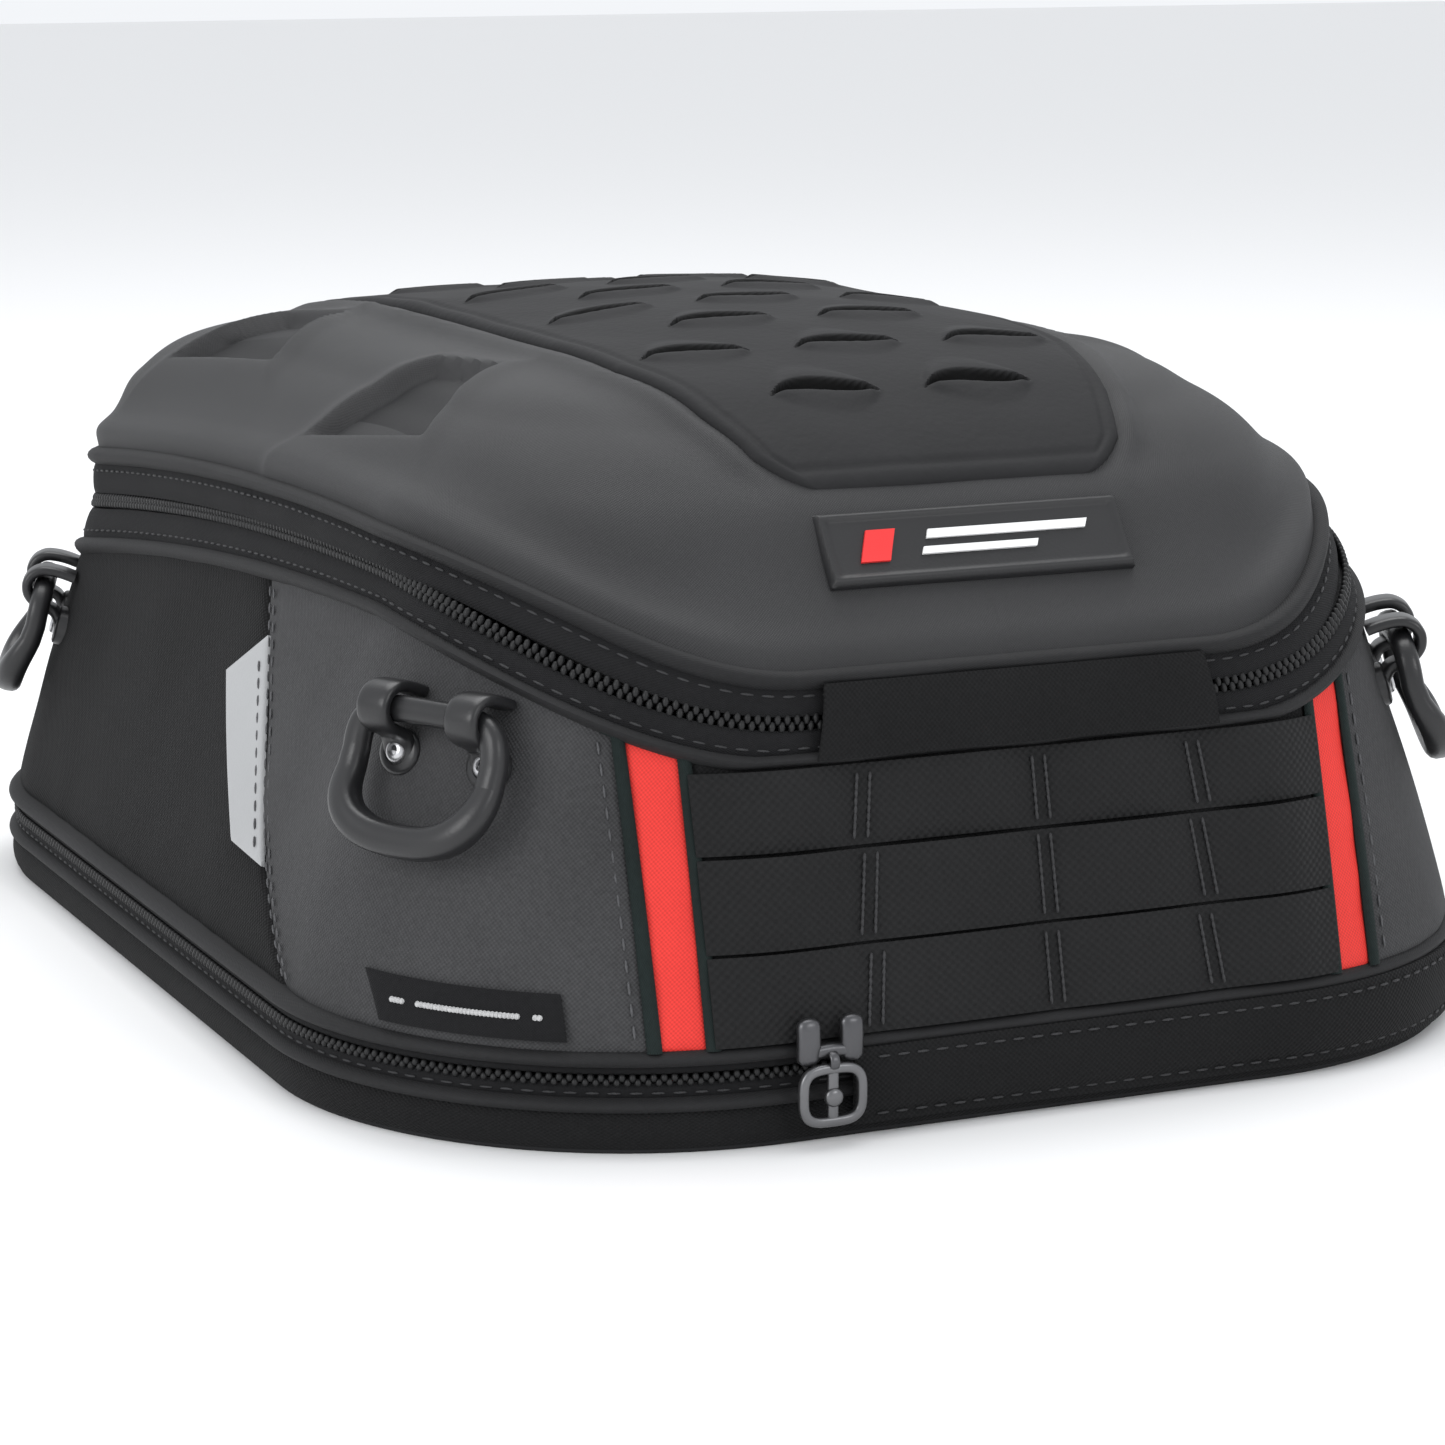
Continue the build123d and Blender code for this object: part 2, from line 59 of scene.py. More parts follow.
DOME = 2.2
DOME_MIDDLE, DOME_HALF = (0.0, -17.5), (36.0, 51.5)
WALL_FOOT = 21.5
ZIP_FRONT = ((-176.0, 87.0), (-125.0, 108.9), (-95.0, 112.0))
ZIP_REAR = ((-95.0, 112.0), (46.0, 106.0), (180.0, 89.2))
TAPE_GAP, TAPE_EDGE, PIPING_EDGE = 1.5, 6.2, 8.2
FRONT_HALF, STRIP_HALF, REAR_HALF = 76.0, 88.0, 86.0
WEBBING_ROWS = (("lower", 22.2, 40.5, 1.6), ("middle", 41.2, 60.4, 2.6), ("upper", 61.2, 78.0, 1.6))
RECESS_CORNERS = ((105.0, -22.0), (80.0, -38.0), (75.0, -63.0), (98.0, -78.0))
PAD_SIDE = ((-147.0, 39.0), (-139.0, 45.5), (-124.0, 51.0), (-94.0, 58.0), (-60.0, 60.0), (30.0, 60.0),
            (122.0, 57.0))
PAD_FRONT, PAD_REAR = -147.0, 122.0
SLOT_ROWS, FIRST_SLOT_Y, SLOT_PITCH, SLOT_STEP = 9, -121.0, 27.5, 19.0
BADGE_FOOT, BADGE_TALL, BADGE_HALF = 112.4, 14.2, 37.0
FLAP_HALF, FLAP_FOOT, FLAP_TALL = 49.0, 79.2, 15.8
LABEL_FOOT, LABEL_TALL, LABEL_START, LABEL_END = 24.0, 9.6, 133.0, 104.0
TAB = np.array(((-37.0, 88.0), (-23.0, 77.0), (-57.0, 44.0), (-73.0, 42.0)))
WALL_THICKNESS = 4.0
NET_HALF, NET_FRONT, NET_REAR, NET_CELL, NET_HEIGHT = 94.0, -60.0, 95.0, 4.0, 131.4
COVER_FOOT, COVER_TALL = 3.0, 16.6
CLIP_SPOTS = ((-118.0, -133.0, 86.5), (118.0, -133.0, 86.5), (-124.0, 129.0, 74.0), (124.0, 129.0, 74.0))

# Sizes of the thin cloth pieces, in millimetres; the bellows gusset's are set here. The gusset's cut follows
# from the lift it must allow. The linings' and the net's are estimates from the bag's outline. The tab's and
# the webbing's come from their outlines. The flap's, label's and base cover's widths were read off this
# model's own curved outline.
GUSSET_OUT, GUSSET_FOLD, GUSSET_LEGS = -6.8, 11.0, 6
GUSSET_FOOT, FOLDS_FOOT, FOLDS_TALL, GUSSET_HEAD = 4.8, 9.8, 7.8, 18.4

# ---------------------------------------------------------------- outline of the bag

REF_HALF, REF_FRONT, REF_REAR, REF_CORNER = 125.0, -178.0, 172.0, 73.0
SIDE_RUN = REF_REAR - REF_FRONT - 2 * REF_CORNER
FRONT_RUN = REF_HALF - REF_CORNER
CORNER_RUN = REF_CORNER * math.pi / 2
RUNS = np.array([FRONT_RUN, CORNER_RUN, SIDE_RUN, CORNER_RUN, 2 * FRONT_RUN, CORNER_RUN, SIDE_RUN,
                 CORNER_RUN, FRONT_RUN])
KNOTS = np.concatenate([[0.0], np.cumsum(RUNS)])
AROUND = KNOTS[-1]
SIDE_X = np.array([(0, 1), (1, 1), (1, 1), (1, 1), (1, -1), (-1, -1), (-1, -1), (-1, -1), (-1, 0)], float)
END_Y = np.array([(0, 0), (0, 0), (0, 1), (1, 1), (1, 1), (1, 1), (1, 0), (0, 0), (0, 0)], float)
TURN = np.radians([(-90, -90), (-90, 0), (0, 0), (0, 90), (90, 90), (90, 180), (180, 180), (180, 270),
                   (270, 270)])


def between(pair, share):
    """Value between the two columns of a table."""
    return pair[..., 0] + (pair[..., 1] - pair[..., 0]) * share


def at_height(levels, z):
    """Half width, front, rear and corner radius at height z, smooth through the levels."""
    table = np.array(levels)
    heights, sizes = table[:, 0], table[:, 1:]
    slopes = np.gradient(sizes, heights, axis=0)
    z = np.clip(z, heights[0], heights[-1])
    index = np.clip(np.searchsorted(heights, z, side="right") - 1, 0, len(heights) - 2)
    step = heights[index + 1] - heights[index]
    t = ((z - heights[index]) / step)[..., None]
    step = step[..., None]
    low, high = sizes[index], sizes[index + 1]
    slope_low, slope_high = slopes[index], slopes[index + 1]
    size = low * (2 * t ** 3 - 3 * t ** 2 + 1) + slope_low * step * (t ** 3 - 2 * t ** 2 + t)
    size = size + high * (3 * t ** 2 - 2 * t ** 3) + slope_high * step * (t ** 3 - t ** 2)
    return [size[..., k] for k in range(5)]


def outline(levels, s, z):
    """Plan point and outward plan direction; s runs anticlockwise from the middle of the front."""
    s, z = np.broadcast_arrays(np.asarray(s, float), np.asarray(z, float))
    half, front, rear, front_corner, rear_corner = at_height(levels, z)
    s = np.mod(s, AROUND)
    index = np.clip(np.searchsorted(KNOTS, s, side="right") - 1, 0, len(RUNS) - 1)
    share = (s - KNOTS[index]) / RUNS[index]
    angle = between(TURN[index], share)
    end = between(END_Y[index], share)
    corner = front_corner * (1 - end) + rear_corner * end
    centre_x = between(SIDE_X[index], share) * (half - corner)
    centre_y = (front + front_corner) * (1 - end) + (rear - rear_corner) * end
    level = np.stack([np.cos(angle), np.sin(angle)], -1)
    point = np.stack([centre_x, centre_y], -1) + level * corner[..., None]
    return point, level


def surface(levels, s, z, out=0.0):
    """Point on a form, moved outwards along its normal by out."""
    s, z, out = np.broadcast_arrays(np.asarray(s, float), np.asarray(z, float), np.asarray(out, float))
    here, level = outline(levels, s, z)
    above = outline(levels, s, z + 0.5)[0]
    below = outline(levels, s, z - 0.5)[0]
    lean = ((above - below) * level).sum(-1)
    normal = np.stack([level[..., 0], level[..., 1], -lean], -1)
    normal /= np.linalg.norm(normal, axis=-1, keepdims=True)
    point = np.stack([here[..., 0], here[..., 1], z], -1)
    return point + normal * out[..., None]


def circle_through(a, b, c):
    """Centre and radius of the circle through three points."""
    (ax, ay), (bx, by), (cx, cy) = a, b, c
    d = 2 * (ax * (by - cy) + bx * (cy - ay) + cx * (ay - by))
    aa, bb, cc = ax * ax + ay * ay, bx * bx + by * by, cx * cx + cy * cy
    x = (aa * (by - cy) + bb * (cy - ay) + cc * (ay - by)) / d
    y = (aa * (cx - bx) + bb * (ax - cx) + cc * (bx - ax)) / d
    return x, y, math.hypot(ax - x, ay - y)


def arc_height(points, y):
    """Height of a zip arc at y; both arcs bulge upwards."""
    x0, z0, radius = circle_through(*points)
    y = np.clip(y, points[0][0], points[2][0])
    return z0 + np.sqrt(np.maximum(radius ** 2 - (y - x0) ** 2, 0.0))


def zip_height(y, rise):
    """Height of the zip line at y, moved up by rise, which grows towards the rear."""
    front = [(p[0], p[1] + rise * k) for p, k in zip(ZIP_FRONT, (1.0, 1.075, 1.15))]
    rear = [(p[0], p[1] + rise * k) for p, k in zip(ZIP_REAR, (1.15, 1.475, 1.8))]
    return np.where(y < ZIP_FRONT[2][0], arc_height(front, y), arc_height(rear, y))


def zip_line(levels, s, rise):
    """Height of the zip line where it meets a form."""
    z = np.full(np.shape(s), 100.0)
    for _ in range(14):
        z = zip_height(outline(levels, s, z)[0][..., 1], rise)
    return z


def find_s(levels, z, axis, value, low, high):
    """Place between low and high where the outline's coordinate along axis has a value."""
    z = np.asarray(z, float)
    low = np.full(z.shape, low)
    high = np.full(z.shape, high)
    rising = outline(levels, high, z)[0][..., axis] > outline(levels, low, z)[0][..., axis]
    for _ in range(34):
        middle = (low + high) / 2
        past = (outline(levels, middle, z)[0][..., axis] > value) == rising
        high = np.where(past, middle, high)
        low = np.where(past, low, middle)
    return (low + high) / 2


def front_s(z, x, levels=WALL_LEVELS):
    """Place on the front, or its corners, at a distance x from the middle."""
    s = find_s(levels, z, 0, abs(x), 0.0, KNOTS[2])
    return s if x >= 0 else -s


def rear_s(z, x):
    """Place on the rear right half at a distance x from the middle."""
    return find_s(WALL_LEVELS, z, 0, x, KNOTS[3], AROUND / 2)


def edge_s(z):
    """Place of the right side panel's slanted rear edge."""
    z = np.asarray(z, float)
    x0, z0, radius = circle_through((-58.0, 56.0), (-84.0, 33.0), (-130.0, 14.0))
    swept = x0 + np.sqrt(np.maximum(radius ** 2 - (z - z0) ** 2, 0.0))
    straight = -58.0 + (z - 56.0) * 118.0 / 149.0
    return find_s(WALL_LEVELS, z, 1, np.where(z < 56.0, swept, straight), 0.0, AROUND / 2)


# ---------------------------------------------------------------- mesh helpers


def make_object(name, points, faces, uv=None, materials=(), shade=None, smooth=40.0):
    """Mesh object from millimetre points; shade is how strongly painted shade darkens each point's colour, 0
    to 1.
    """
    mesh = bpy.data.meshes.new(name)
    points = np.asarray(points, float).reshape(-1, 3) / 1000.0
    mesh.from_pydata(points.tolist(), [], [list(f) for f in faces])
    if uv is not None:
        layer = mesh.uv_layers.new(name="UVMap")
        corner = np.empty(len(mesh.loops), dtype=np.int32)
        mesh.loops.foreach_get("vertex_index", corner)
        layer.data.foreach_set("uv", (np.asarray(uv, float).reshape(-1, 2)[corner] / 1000.0).ravel())
    for material in materials:
        mesh.materials.append(material)
    if shade is not None:
        layer = mesh.attributes.new("shade", "FLOAT", "POINT")
        layer.data.foreach_set("value", np.asarray(shade, dtype=np.float32).ravel())
    mesh.validate()
    mesh.shade_smooth()
    mesh.set_sharp_from_angle(angle=math.radians(smooth))
    obj = bpy.data.objects.new(name, mesh)
    bpy.context.collection.objects.link(obj)
    return obj


def hand_over(obj, body, node):
    """Put a piece on its body, in the place of a CAD node, and hide that node."""
    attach(obj, body)
    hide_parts(node)
    return obj


def grid_faces(rows, columns, around=False, start=0):
    """Quads over a grid of points."""
    across = columns if around else columns - 1
    i, j = np.meshgrid(np.arange(rows - 1), np.arange(across), indexing="ij")
    j2 = (j + 1) % columns
    quads = np.stack([i * columns + j, i * columns + j2, (i + 1) * columns + j2, (i + 1) * columns + j], -1)
    return (quads.reshape(-1, 4) + start).tolist()


def skin(name, outer, inner, uv, around=False, **extra):
    """Closed skin between an outer and an inner grid of points."""
    rows, columns = outer.shape[:2]
    count = rows * columns
    faces = grid_faces(rows, columns, around)
    faces += [f[::-1] for f in grid_faces(rows, columns, around, count)]
    columns_run = range(columns if around else columns - 1)
    for j in columns_run:
        k = (j + 1) % columns
        top = (rows - 1) * columns
        faces.append([j, count + j, count + k, k])
        faces.append([top + j, top + k, count + top + k, count + top + j])
    if not around:
        for i in range(rows - 1):
            a, b = i * columns, (i + 1) * columns
            c, d = a + columns - 1, b + columns - 1
            faces.append([a, b, count + b, count + a])
            faces.append([c, count + c, count + d, d])
    points = np.concatenate([outer.reshape(-1, 3), inner.reshape(-1, 3)])
    return make_object(name, points, faces, np.concatenate([uv.reshape(-1, 2)] * 2), **extra)


def patch(name, levels, s, z, outer, inner, key, smooth=60.0, uv=None, around=False):
    """Closed skin over a stretch of a form, between two distances out."""
    uv = np.stack([s, z], -1) if uv is None else uv
    return skin(name, surface(levels, s, z, outer), surface(levels, s, z, inner), uv, around,
                materials=[M[key]], smooth=smooth)


def swept(name, rings, uv=None, closed=False, **extra):
    """Tube through closed rings of points, shape (rings, points in a ring, 3)."""
    rings = np.asarray(rings, float)
    count, around = rings.shape[:2]
    faces = [f[::-1] for f in grid_faces(count, around, True)]
    if closed:
        last = (count - 1) * around
        faces += [[last + j, j, (j + 1) % around, last + (j + 1) % around] for j in range(around)]
        faces[-around:] = [f[::-1] for f in faces[-around:]]
    else:
        faces.append(list(range(around)))
        faces.append([(count - 1) * around + j for j in range(around)][::-1])
    if uv is None:
        run = np.concatenate([[0.0], np.cumsum(np.linalg.norm(np.diff(rings[:, 0], axis=0), axis=1))])
        girth = np.arange(around) * 1.5
        uv = np.stack(np.meshgrid(run, girth, indexing="ij"), -1)
    return make_object(name, rings.reshape(-1, 3), faces, uv, **extra)


def rounded_profile(inner, outer, power=0.45, steps=7):
    """Cross-section of a band: (share of its height, distance out)."""
    shares = np.linspace(0.0, 1.0, steps)
    bulge = np.sin(np.pi * np.clip(shares, 0.02, 0.98)) ** power
    front = [(s, inner + (outer - inner) * b) for s, b in zip(shares, bulge)]
    return front + [(1.0, inner), (0.0, inner)]


def band(name, levels, s, low, high, profile, ripple, **extra):
    """Closed band that follows a form between two lines, with a given cross-section."""
    wave = ripple * (np.sin(s / 17.0) * 0.6 + np.sin(s / 6.1 + 1.0) * 0.4)
    rings = []
    for share, out in profile:
        z = low + (high - low) * share
        rings.append(surface(levels, s, z, out + (wave if out > 0.3 else 0.0)))
    rings = np.stack(rings, 1)
    run = np.broadcast_to(s[:, None], rings.shape[:2])
    girth = np.broadcast_to(np.array([p[0] for p in profile])[None, :], rings.shape[:2]) * 12.0
    return swept(name, rings, np.stack([run, girth], -1), True, **extra)


def blob():
    """Small rounded template of unit half-size, with its faces."""
    segments, rings = 6, 4
    points, faces = [(0.0, 0.0, -1.0)], []
    for i in range(1, rings):
        tilt = math.pi * i / rings
        for j in range(segments):
            turn = 2 * math.pi * j / segments
            points.append((math.sin(tilt) * math.cos(turn), math.sin(tilt) * math.sin(turn), -math.cos(tilt)))
    points.append((0.0, 0.0, 1.0))
    last = len(points) - 1
    for j in range(segments):
        k = (j + 1) % segments
        faces.append([0, 1 + k, 1 + j])
        for i in range(rings - 2):
            a, b = 1 + i * segments, 1 + (i + 1) * segments
            faces.append([a + j, a + k, b + k, b + j])
        top = 1 + (rings - 2) * segments
        faces.append([top + j, top + k, last])
    return np.array(points), faces


def scatter(name, centres, along, normals, size, **extra):
    """One small blob at each centre: size is (half length, half width, half height)."""
    template, template_faces = blob()
    along = along / np.linalg.norm(along, axis=1, keepdims=True)
    normals = normals - along * (normals * along).sum(1, keepdims=True)
    normals = normals / np.linalg.norm(normals, axis=1, keepdims=True)
    side = np.cross(normals, along)
    size = np.broadcast_to(np.asarray(size, float), (len(centres), 3))
    points = centres[:, None] + (template[None, :, 2:3] * along[:, None] * size[:, None, 0:1]
                                 + template[None, :, 0:1] * side[:, None] * size[:, None, 1:2]
                                 + template[None, :, 1:2] * normals[:, None] * size[:, None, 2:3])
    faces = []
    for n in range(len(centres)):
        faces += [[v + n * len(template) for v in face] for face in template_faces]
    uv = points[..., :2].reshape(-1, 2)
    return make_object(name, points.reshape(-1, 3), faces, uv, smooth=80.0, **extra)


def resample(path, pitch):
    """Even points along a polyline, with their directions."""
    path = np.asarray(path, float)
    run = np.concatenate([[0.0], np.cumsum(np.linalg.norm(np.diff(path, axis=0), axis=1))])
    places = np.arange(pitch / 2, run[-1], pitch)
    points = np.stack([np.interp(places, run, path[:, k]) for k in range(3)], -1)
    ahead = np.stack([np.interp(places + 0.2, run, path[:, k]) for k in range(3)], -1)
    behind = np.stack([np.interp(places - 0.2, run, path[:, k]) for k in range(3)], -1)
    return points, ahead - behind + 1e-9


def stitch_rows(name, paths, material, body, pitch=4.6, length=1.55, thick=0.32):
    """Rows of thread stitches; each path is (points, a point inside the bag the thread faces away from)."""
    centres, along, normals = [], [], []
    for path, middle in paths:
        points, direction = resample(path, pitch)
        centres.append(points)
        along.append(direction)
        normals.append(points - np.asarray(middle))
    obj = scatter(name, np.concatenate(centres), np.concatenate(along), np.concatenate(normals),
                  (length, thick, thick), materials=[material])
    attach(obj, body)
    return obj


def s_steps(low, high, step):
    """Even places between two, about one step apart."""
    return np.linspace(low, high, max(3, int(abs(high - low) / step) + 1))


def sag(points, size=1.0, grain=60.0):
    """Slow uneven swell, the same each time."""
    x, y, z = [points[..., k] / grain for k in range(3)]
    return size * (0.5 * np.sin(1.7 * x + 0.8 * y + 2.1 * z) + 0.3 * np.sin(2.9 * y - 1.3 * z + 0.7)
                   + 0.2 * np.sin(4.7 * x + 3.1 * z + 2.0 + 3.3 * y))


def grid_normals(points, around=False):
    """Outward normals of a grid of points."""
    if around:
        ds = np.roll(points, -1, 1) - np.roll(points, 1, 1)
    else:
        ds = np.gradient(points, axis=1)
    dz = np.gradient(points, axis=0)
    normal = np.cross(ds, dz)
    return normal / np.maximum(np.linalg.norm(normal, axis=-1, keepdims=True), 1e-9)


# ---------------------------------------------------------------- materials


class Nodes:
    """Short way to build one procedural material."""

    def __init__(self, name, roughness=0.8, specular=0.3, sheen=0.0, metallic=0.0):
        self.material = bpy.data.materials.new(name)
        self.material.use_nodes = True
        self.tree = self.material.node_tree
        self.shader = self.tree.nodes["Principled BSDF"]
        self.shader.inputs["Roughness"].default_value = roughness
        self.shader.inputs["Specular IOR Level"].default_value = specular
        self.shader.inputs["Metallic"].default_value = metallic
        self.shader.inputs["Sheen Weight"].default_value = sheen
        self.shader.inputs["Sheen Roughness"].default_value = 0.5

    def node(self, kind, **values):
        new = self.tree.nodes.new(kind)
        for key, value in values.items():
            if key in new.inputs:
                new.inputs[key].default_value = value
            else:
                setattr(new, key, value)
        return new

    def link(self, out, into):
        self.tree.links.new(out, into)

    def maths(self, operation, a, b=0.5):
        new = self.node("ShaderNodeMath", operation=operation)
        for k, value in enumerate((a, b)):
            if isinstance(value, (int, float)):
                new.inputs[k].default_value = value
            else:
                self.link(value, new.inputs[k])
        return new.outputs[0]

    def coordinates(self, use_uv):
        new = self.node("ShaderNodeTexCoord")
        return new.outputs["UV" if use_uv else "Object"]

    def noise(self, where, scale, detail=3.0):
        new = self.node("ShaderNodeTexNoise", Scale=scale, Detail=detail)
        self.link(where, new.inputs["Vector"])
        return new.outputs["Fac"]

    def blend_colours(self, share, dark, light):
        ramp = self.node("ShaderNodeValToRGB")
        ramp.color_ramp.elements[0].position = 0.3
        ramp.color_ramp.elements[0].color = (*dark, 1.0)
        ramp.color_ramp.elements[1].position = 0.7
        ramp.color_ramp.elements[1].color = (*light, 1.0)
        self.link(share, ramp.inputs["Fac"])
        return ramp.outputs["Color"]

    def bump(self, height, strength, distance=0.0004):
        new = self.node("ShaderNodeBump", Strength=strength, Distance=distance)
        self.link(height, new.inputs["Height"])
        self.link(new.outputs["Normal"], self.shader.inputs["Normal"])

    def weave(self, where, pitch):
        """Plain weave of crossing threads, pitch in millimetres."""
        parts = self.node("ShaderNodeSeparateXYZ")
        self.link(where, parts.inputs[0])
        turns = 2 * math.pi * 1000.0 / pitch
        a = self.maths("SINE", self.maths("MULTIPLY", parts.outputs[0], turns))
        b = self.maths("SINE", self.maths("MULTIPLY", parts.outputs[1], turns))
        return self.maths("ADD", self.maths("MULTIPLY", self.maths("MULTIPLY", a, b), 0.5), 0.5)


def scaled(colour, factor):
    """Colour made lighter or darker."""
    return tuple(min(1.0, c * factor) for c in colour)


def painted_shade_mix(made, colours, dark):
    """Colours that turn to a painted shade colour where the mesh's shade attribute is 1."""
    if dark is None:
        return colours
    shade = made.node("ShaderNodeAttribute", attribute_name="shade")
    mix = made.node("ShaderNodeMix", data_type="RGBA")
    made.link(shade.outputs["Fac"], mix.inputs[0])
    made.link(colours, mix.inputs[6])
    mix.inputs[7].default_value = (*dark, 1.0)
    return mix.outputs[2]


def fabric(name, colour, pitch=1.1, weave=0.5, roughness=0.85, specular=0.14, sheen=0.02, spread=0.25,
           dark=None):
    """Woven cloth: crossing threads, slow colour variation and dusty wear; dark, if given, is a painted shade
    colour laid where the mesh's shade attribute is set.
    """
    made = Nodes(name, roughness, specular, sheen)
    where = made.coordinates(True)
    threads = made.weave(where, pitch)
    slow = made.noise(made.coordinates(False), 22.0, 4.0)
    fine = made.noise(made.coordinates(False), 900.0, 2.0)
    share = made.maths("ADD", made.maths("MULTIPLY", slow, 0.6), made.maths("MULTIPLY", fine, 0.4))
    colours = made.blend_colours(share, scaled(colour, 1 - spread), scaled(colour, 1 + spread))
    shade = made.node("ShaderNodeMix", data_type="RGBA", blend_type="MULTIPLY")
    shade.inputs[0].default_value = 0.35
    made.link(colours, shade.inputs[6])
    made.link(threads, shade.inputs[7])
    made.link(painted_shade_mix(made, shade.outputs[2], dark), made.shader.inputs["Base Color"])
    made.bump(made.maths("ADD", threads, made.maths("MULTIPLY", fine, 0.6)), weave)
    return made.material


def moulded(name, colour, grain=1400.0, bump=0.35, roughness=0.6, specular=0.35, spread=0.15, sheen=0.0,
            metallic=0.0, dark=None):
    """Moulded rubber, foam skin, plastic or metal with a fine grain and rubbed patches; dark, if given, is a
    painted shade colour laid where the mesh's shade attribute is set.
    """
    made = Nodes(name, roughness, specular, sheen, metallic)
    where = made.coordinates(False)
    slow = made.noise(where, 30.0, 4.0)
    fine = made.noise(where, grain, 2.0)
    colours = made.blend_colours(slow, scaled(colour, 1 - spread), scaled(colour, 1 + spread))
    made.link(painted_shade_mix(made, colours, dark), made.shader.inputs["Base Color"])
    rough = made.maths("ADD", made.maths("MULTIPLY", slow, 0.2), roughness - 0.1)
    made.link(rough, made.shader.inputs["Roughness"])
    made.bump(fine, bump, 0.0003)
    return made.material


BLACK = (0.012, 0.012, 0.0125)
ANTHRACITE = (0.058, 0.058, 0.060)
# painted shade colours: the lid's recess floors and the pad's slot walls are darkened to stand for the shade
# that falls in them
PAINTED_RECESS_SHADE, PAINTED_SLOT_SHADE = (0.014, 0.014, 0.015), (0.002, 0.002, 0.002)
M = {
    "canvas": fabric("black_canvas", BLACK, 1.2, 0.6),
    "tape": fabric("zip_tape", (0.014, 0.014, 0.015), 0.9, 0.5),
    "piping": fabric("piping", (0.017, 0.017, 0.018), 1.0, 0.3, 0.7, 0.25),
    "coil": moulded("zip_coil", (0.010, 0.010, 0.0105), 900.0, 0.2, 0.5, 0.35),
    "anthracite": fabric("anthracite_fabric", ANTHRACITE, 1.0, 0.45, 0.85, 0.2),
    "red": fabric("red_fabric", (0.86, 0.045, 0.035), 0.9, 0.3, 0.65, 0.3, 0.0, 0.06),
    "webbing": fabric("webbing", (0.014, 0.014, 0.0145), 1.9, 0.9, 0.8, 0.22),
    "reflective": moulded("reflective", (0.35, 0.355, 0.36), 1600.0, 0.25, 0.42, 0.6, 0.05),
    "label": fabric("woven_label", (0.012, 0.012, 0.013), 0.6, 0.3),
    "mark": fabric("label_mark", (0.55, 0.55, 0.55), 0.6, 0.3),
    "lining": fabric("lining", (0.16, 0.16, 0.17), 0.6, 0.2, 0.7),
    "mesh": fabric("mesh", (0.02, 0.02, 0.02), 0.6, 0.2, 0.7),
    # the lid and the pad carry painted shade in their recesses and slots
    "eva": fabric("moulded_eva", (0.037, 0.037, 0.0385), 0.7, 0.3, 0.62, 0.28, 0.02, 0.10, PAINTED_RECESS_SHADE),
    "pad": moulded("pad_rubber", (0.021, 0.021, 0.022), 480.0, 0.55, 0.72, 0.16, 0.15, dark=PAINTED_SLOT_SHADE),
    "badge": moulded("badge_rubber", (0.012, 0.012, 0.013), 1200.0, 0.2, 0.45, 0.45),
    "badge_red": moulded("badge_red", (0.75, 0.03, 0.03), 1500.0, 0.1, 0.45, 0.4, 0.05),
    "badge_white": moulded("badge_white", (0.85, 0.85, 0.85), 1500.0, 0.1, 0.45, 0.4, 0.03),
    "ring": moulded("ring_plastic", (0.012, 0.012, 0.013), 1800.0, 0.12, 0.34, 0.5),
    "steel": moulded("screw_steel", (0.55, 0.55, 0.56), 900.0, 0.1, 0.3, 0.5, 0.08, 0.0, 1.0),
    "slider": moulded("slider_metal", (0.10, 0.10, 0.105), 1100.0, 0.12, 0.35, 0.5, 0.15, 0.0, 0.9),
    "puller": moulded("puller_metal", (0.16, 0.16, 0.165), 1100.0, 0.12, 0.32, 0.5, 0.15, 0.0, 0.9),
    "grip": moulded("grip_rubber", (0.020, 0.020, 0.021), 700.0, 0.6, 0.85, 0.2),
    "board": moulded("stiffener_board", (0.03, 0.03, 0.03), 900.0, 0.3, 0.7, 0.3),
    "felt": fabric("floor_felt", (0.10, 0.10, 0.105), 1.4, 0.4, 0.95, 0.1, 0.3),
    "thread": fabric("thread", (0.030, 0.030, 0.032), 0.5, 0.3, 0.6, 0.4),
    "thread_grey": fabric("thread_grey", (0.09, 0.09, 0.095), 0.5, 0.3, 0.6, 0.4),
    "binding": fabric("binding", (0.016, 0.024, 0.023), 0.8, 0.4),
}

# ---------------------------------------------------------------- walls

WALL_MIDDLE = (0.0, -8.0, 60.0)


def ties(points):
    """0 at the ring clips, 1 away from them, so that the padding is held down there."""
    free = np.ones(points.shape[:2])
    for spot in CLIP_SPOTS:
        distance = np.linalg.norm(points - np.array(spot), axis=-1)
        free = free * (1 - np.exp(-(distance / 26.0) ** 2))
    return free


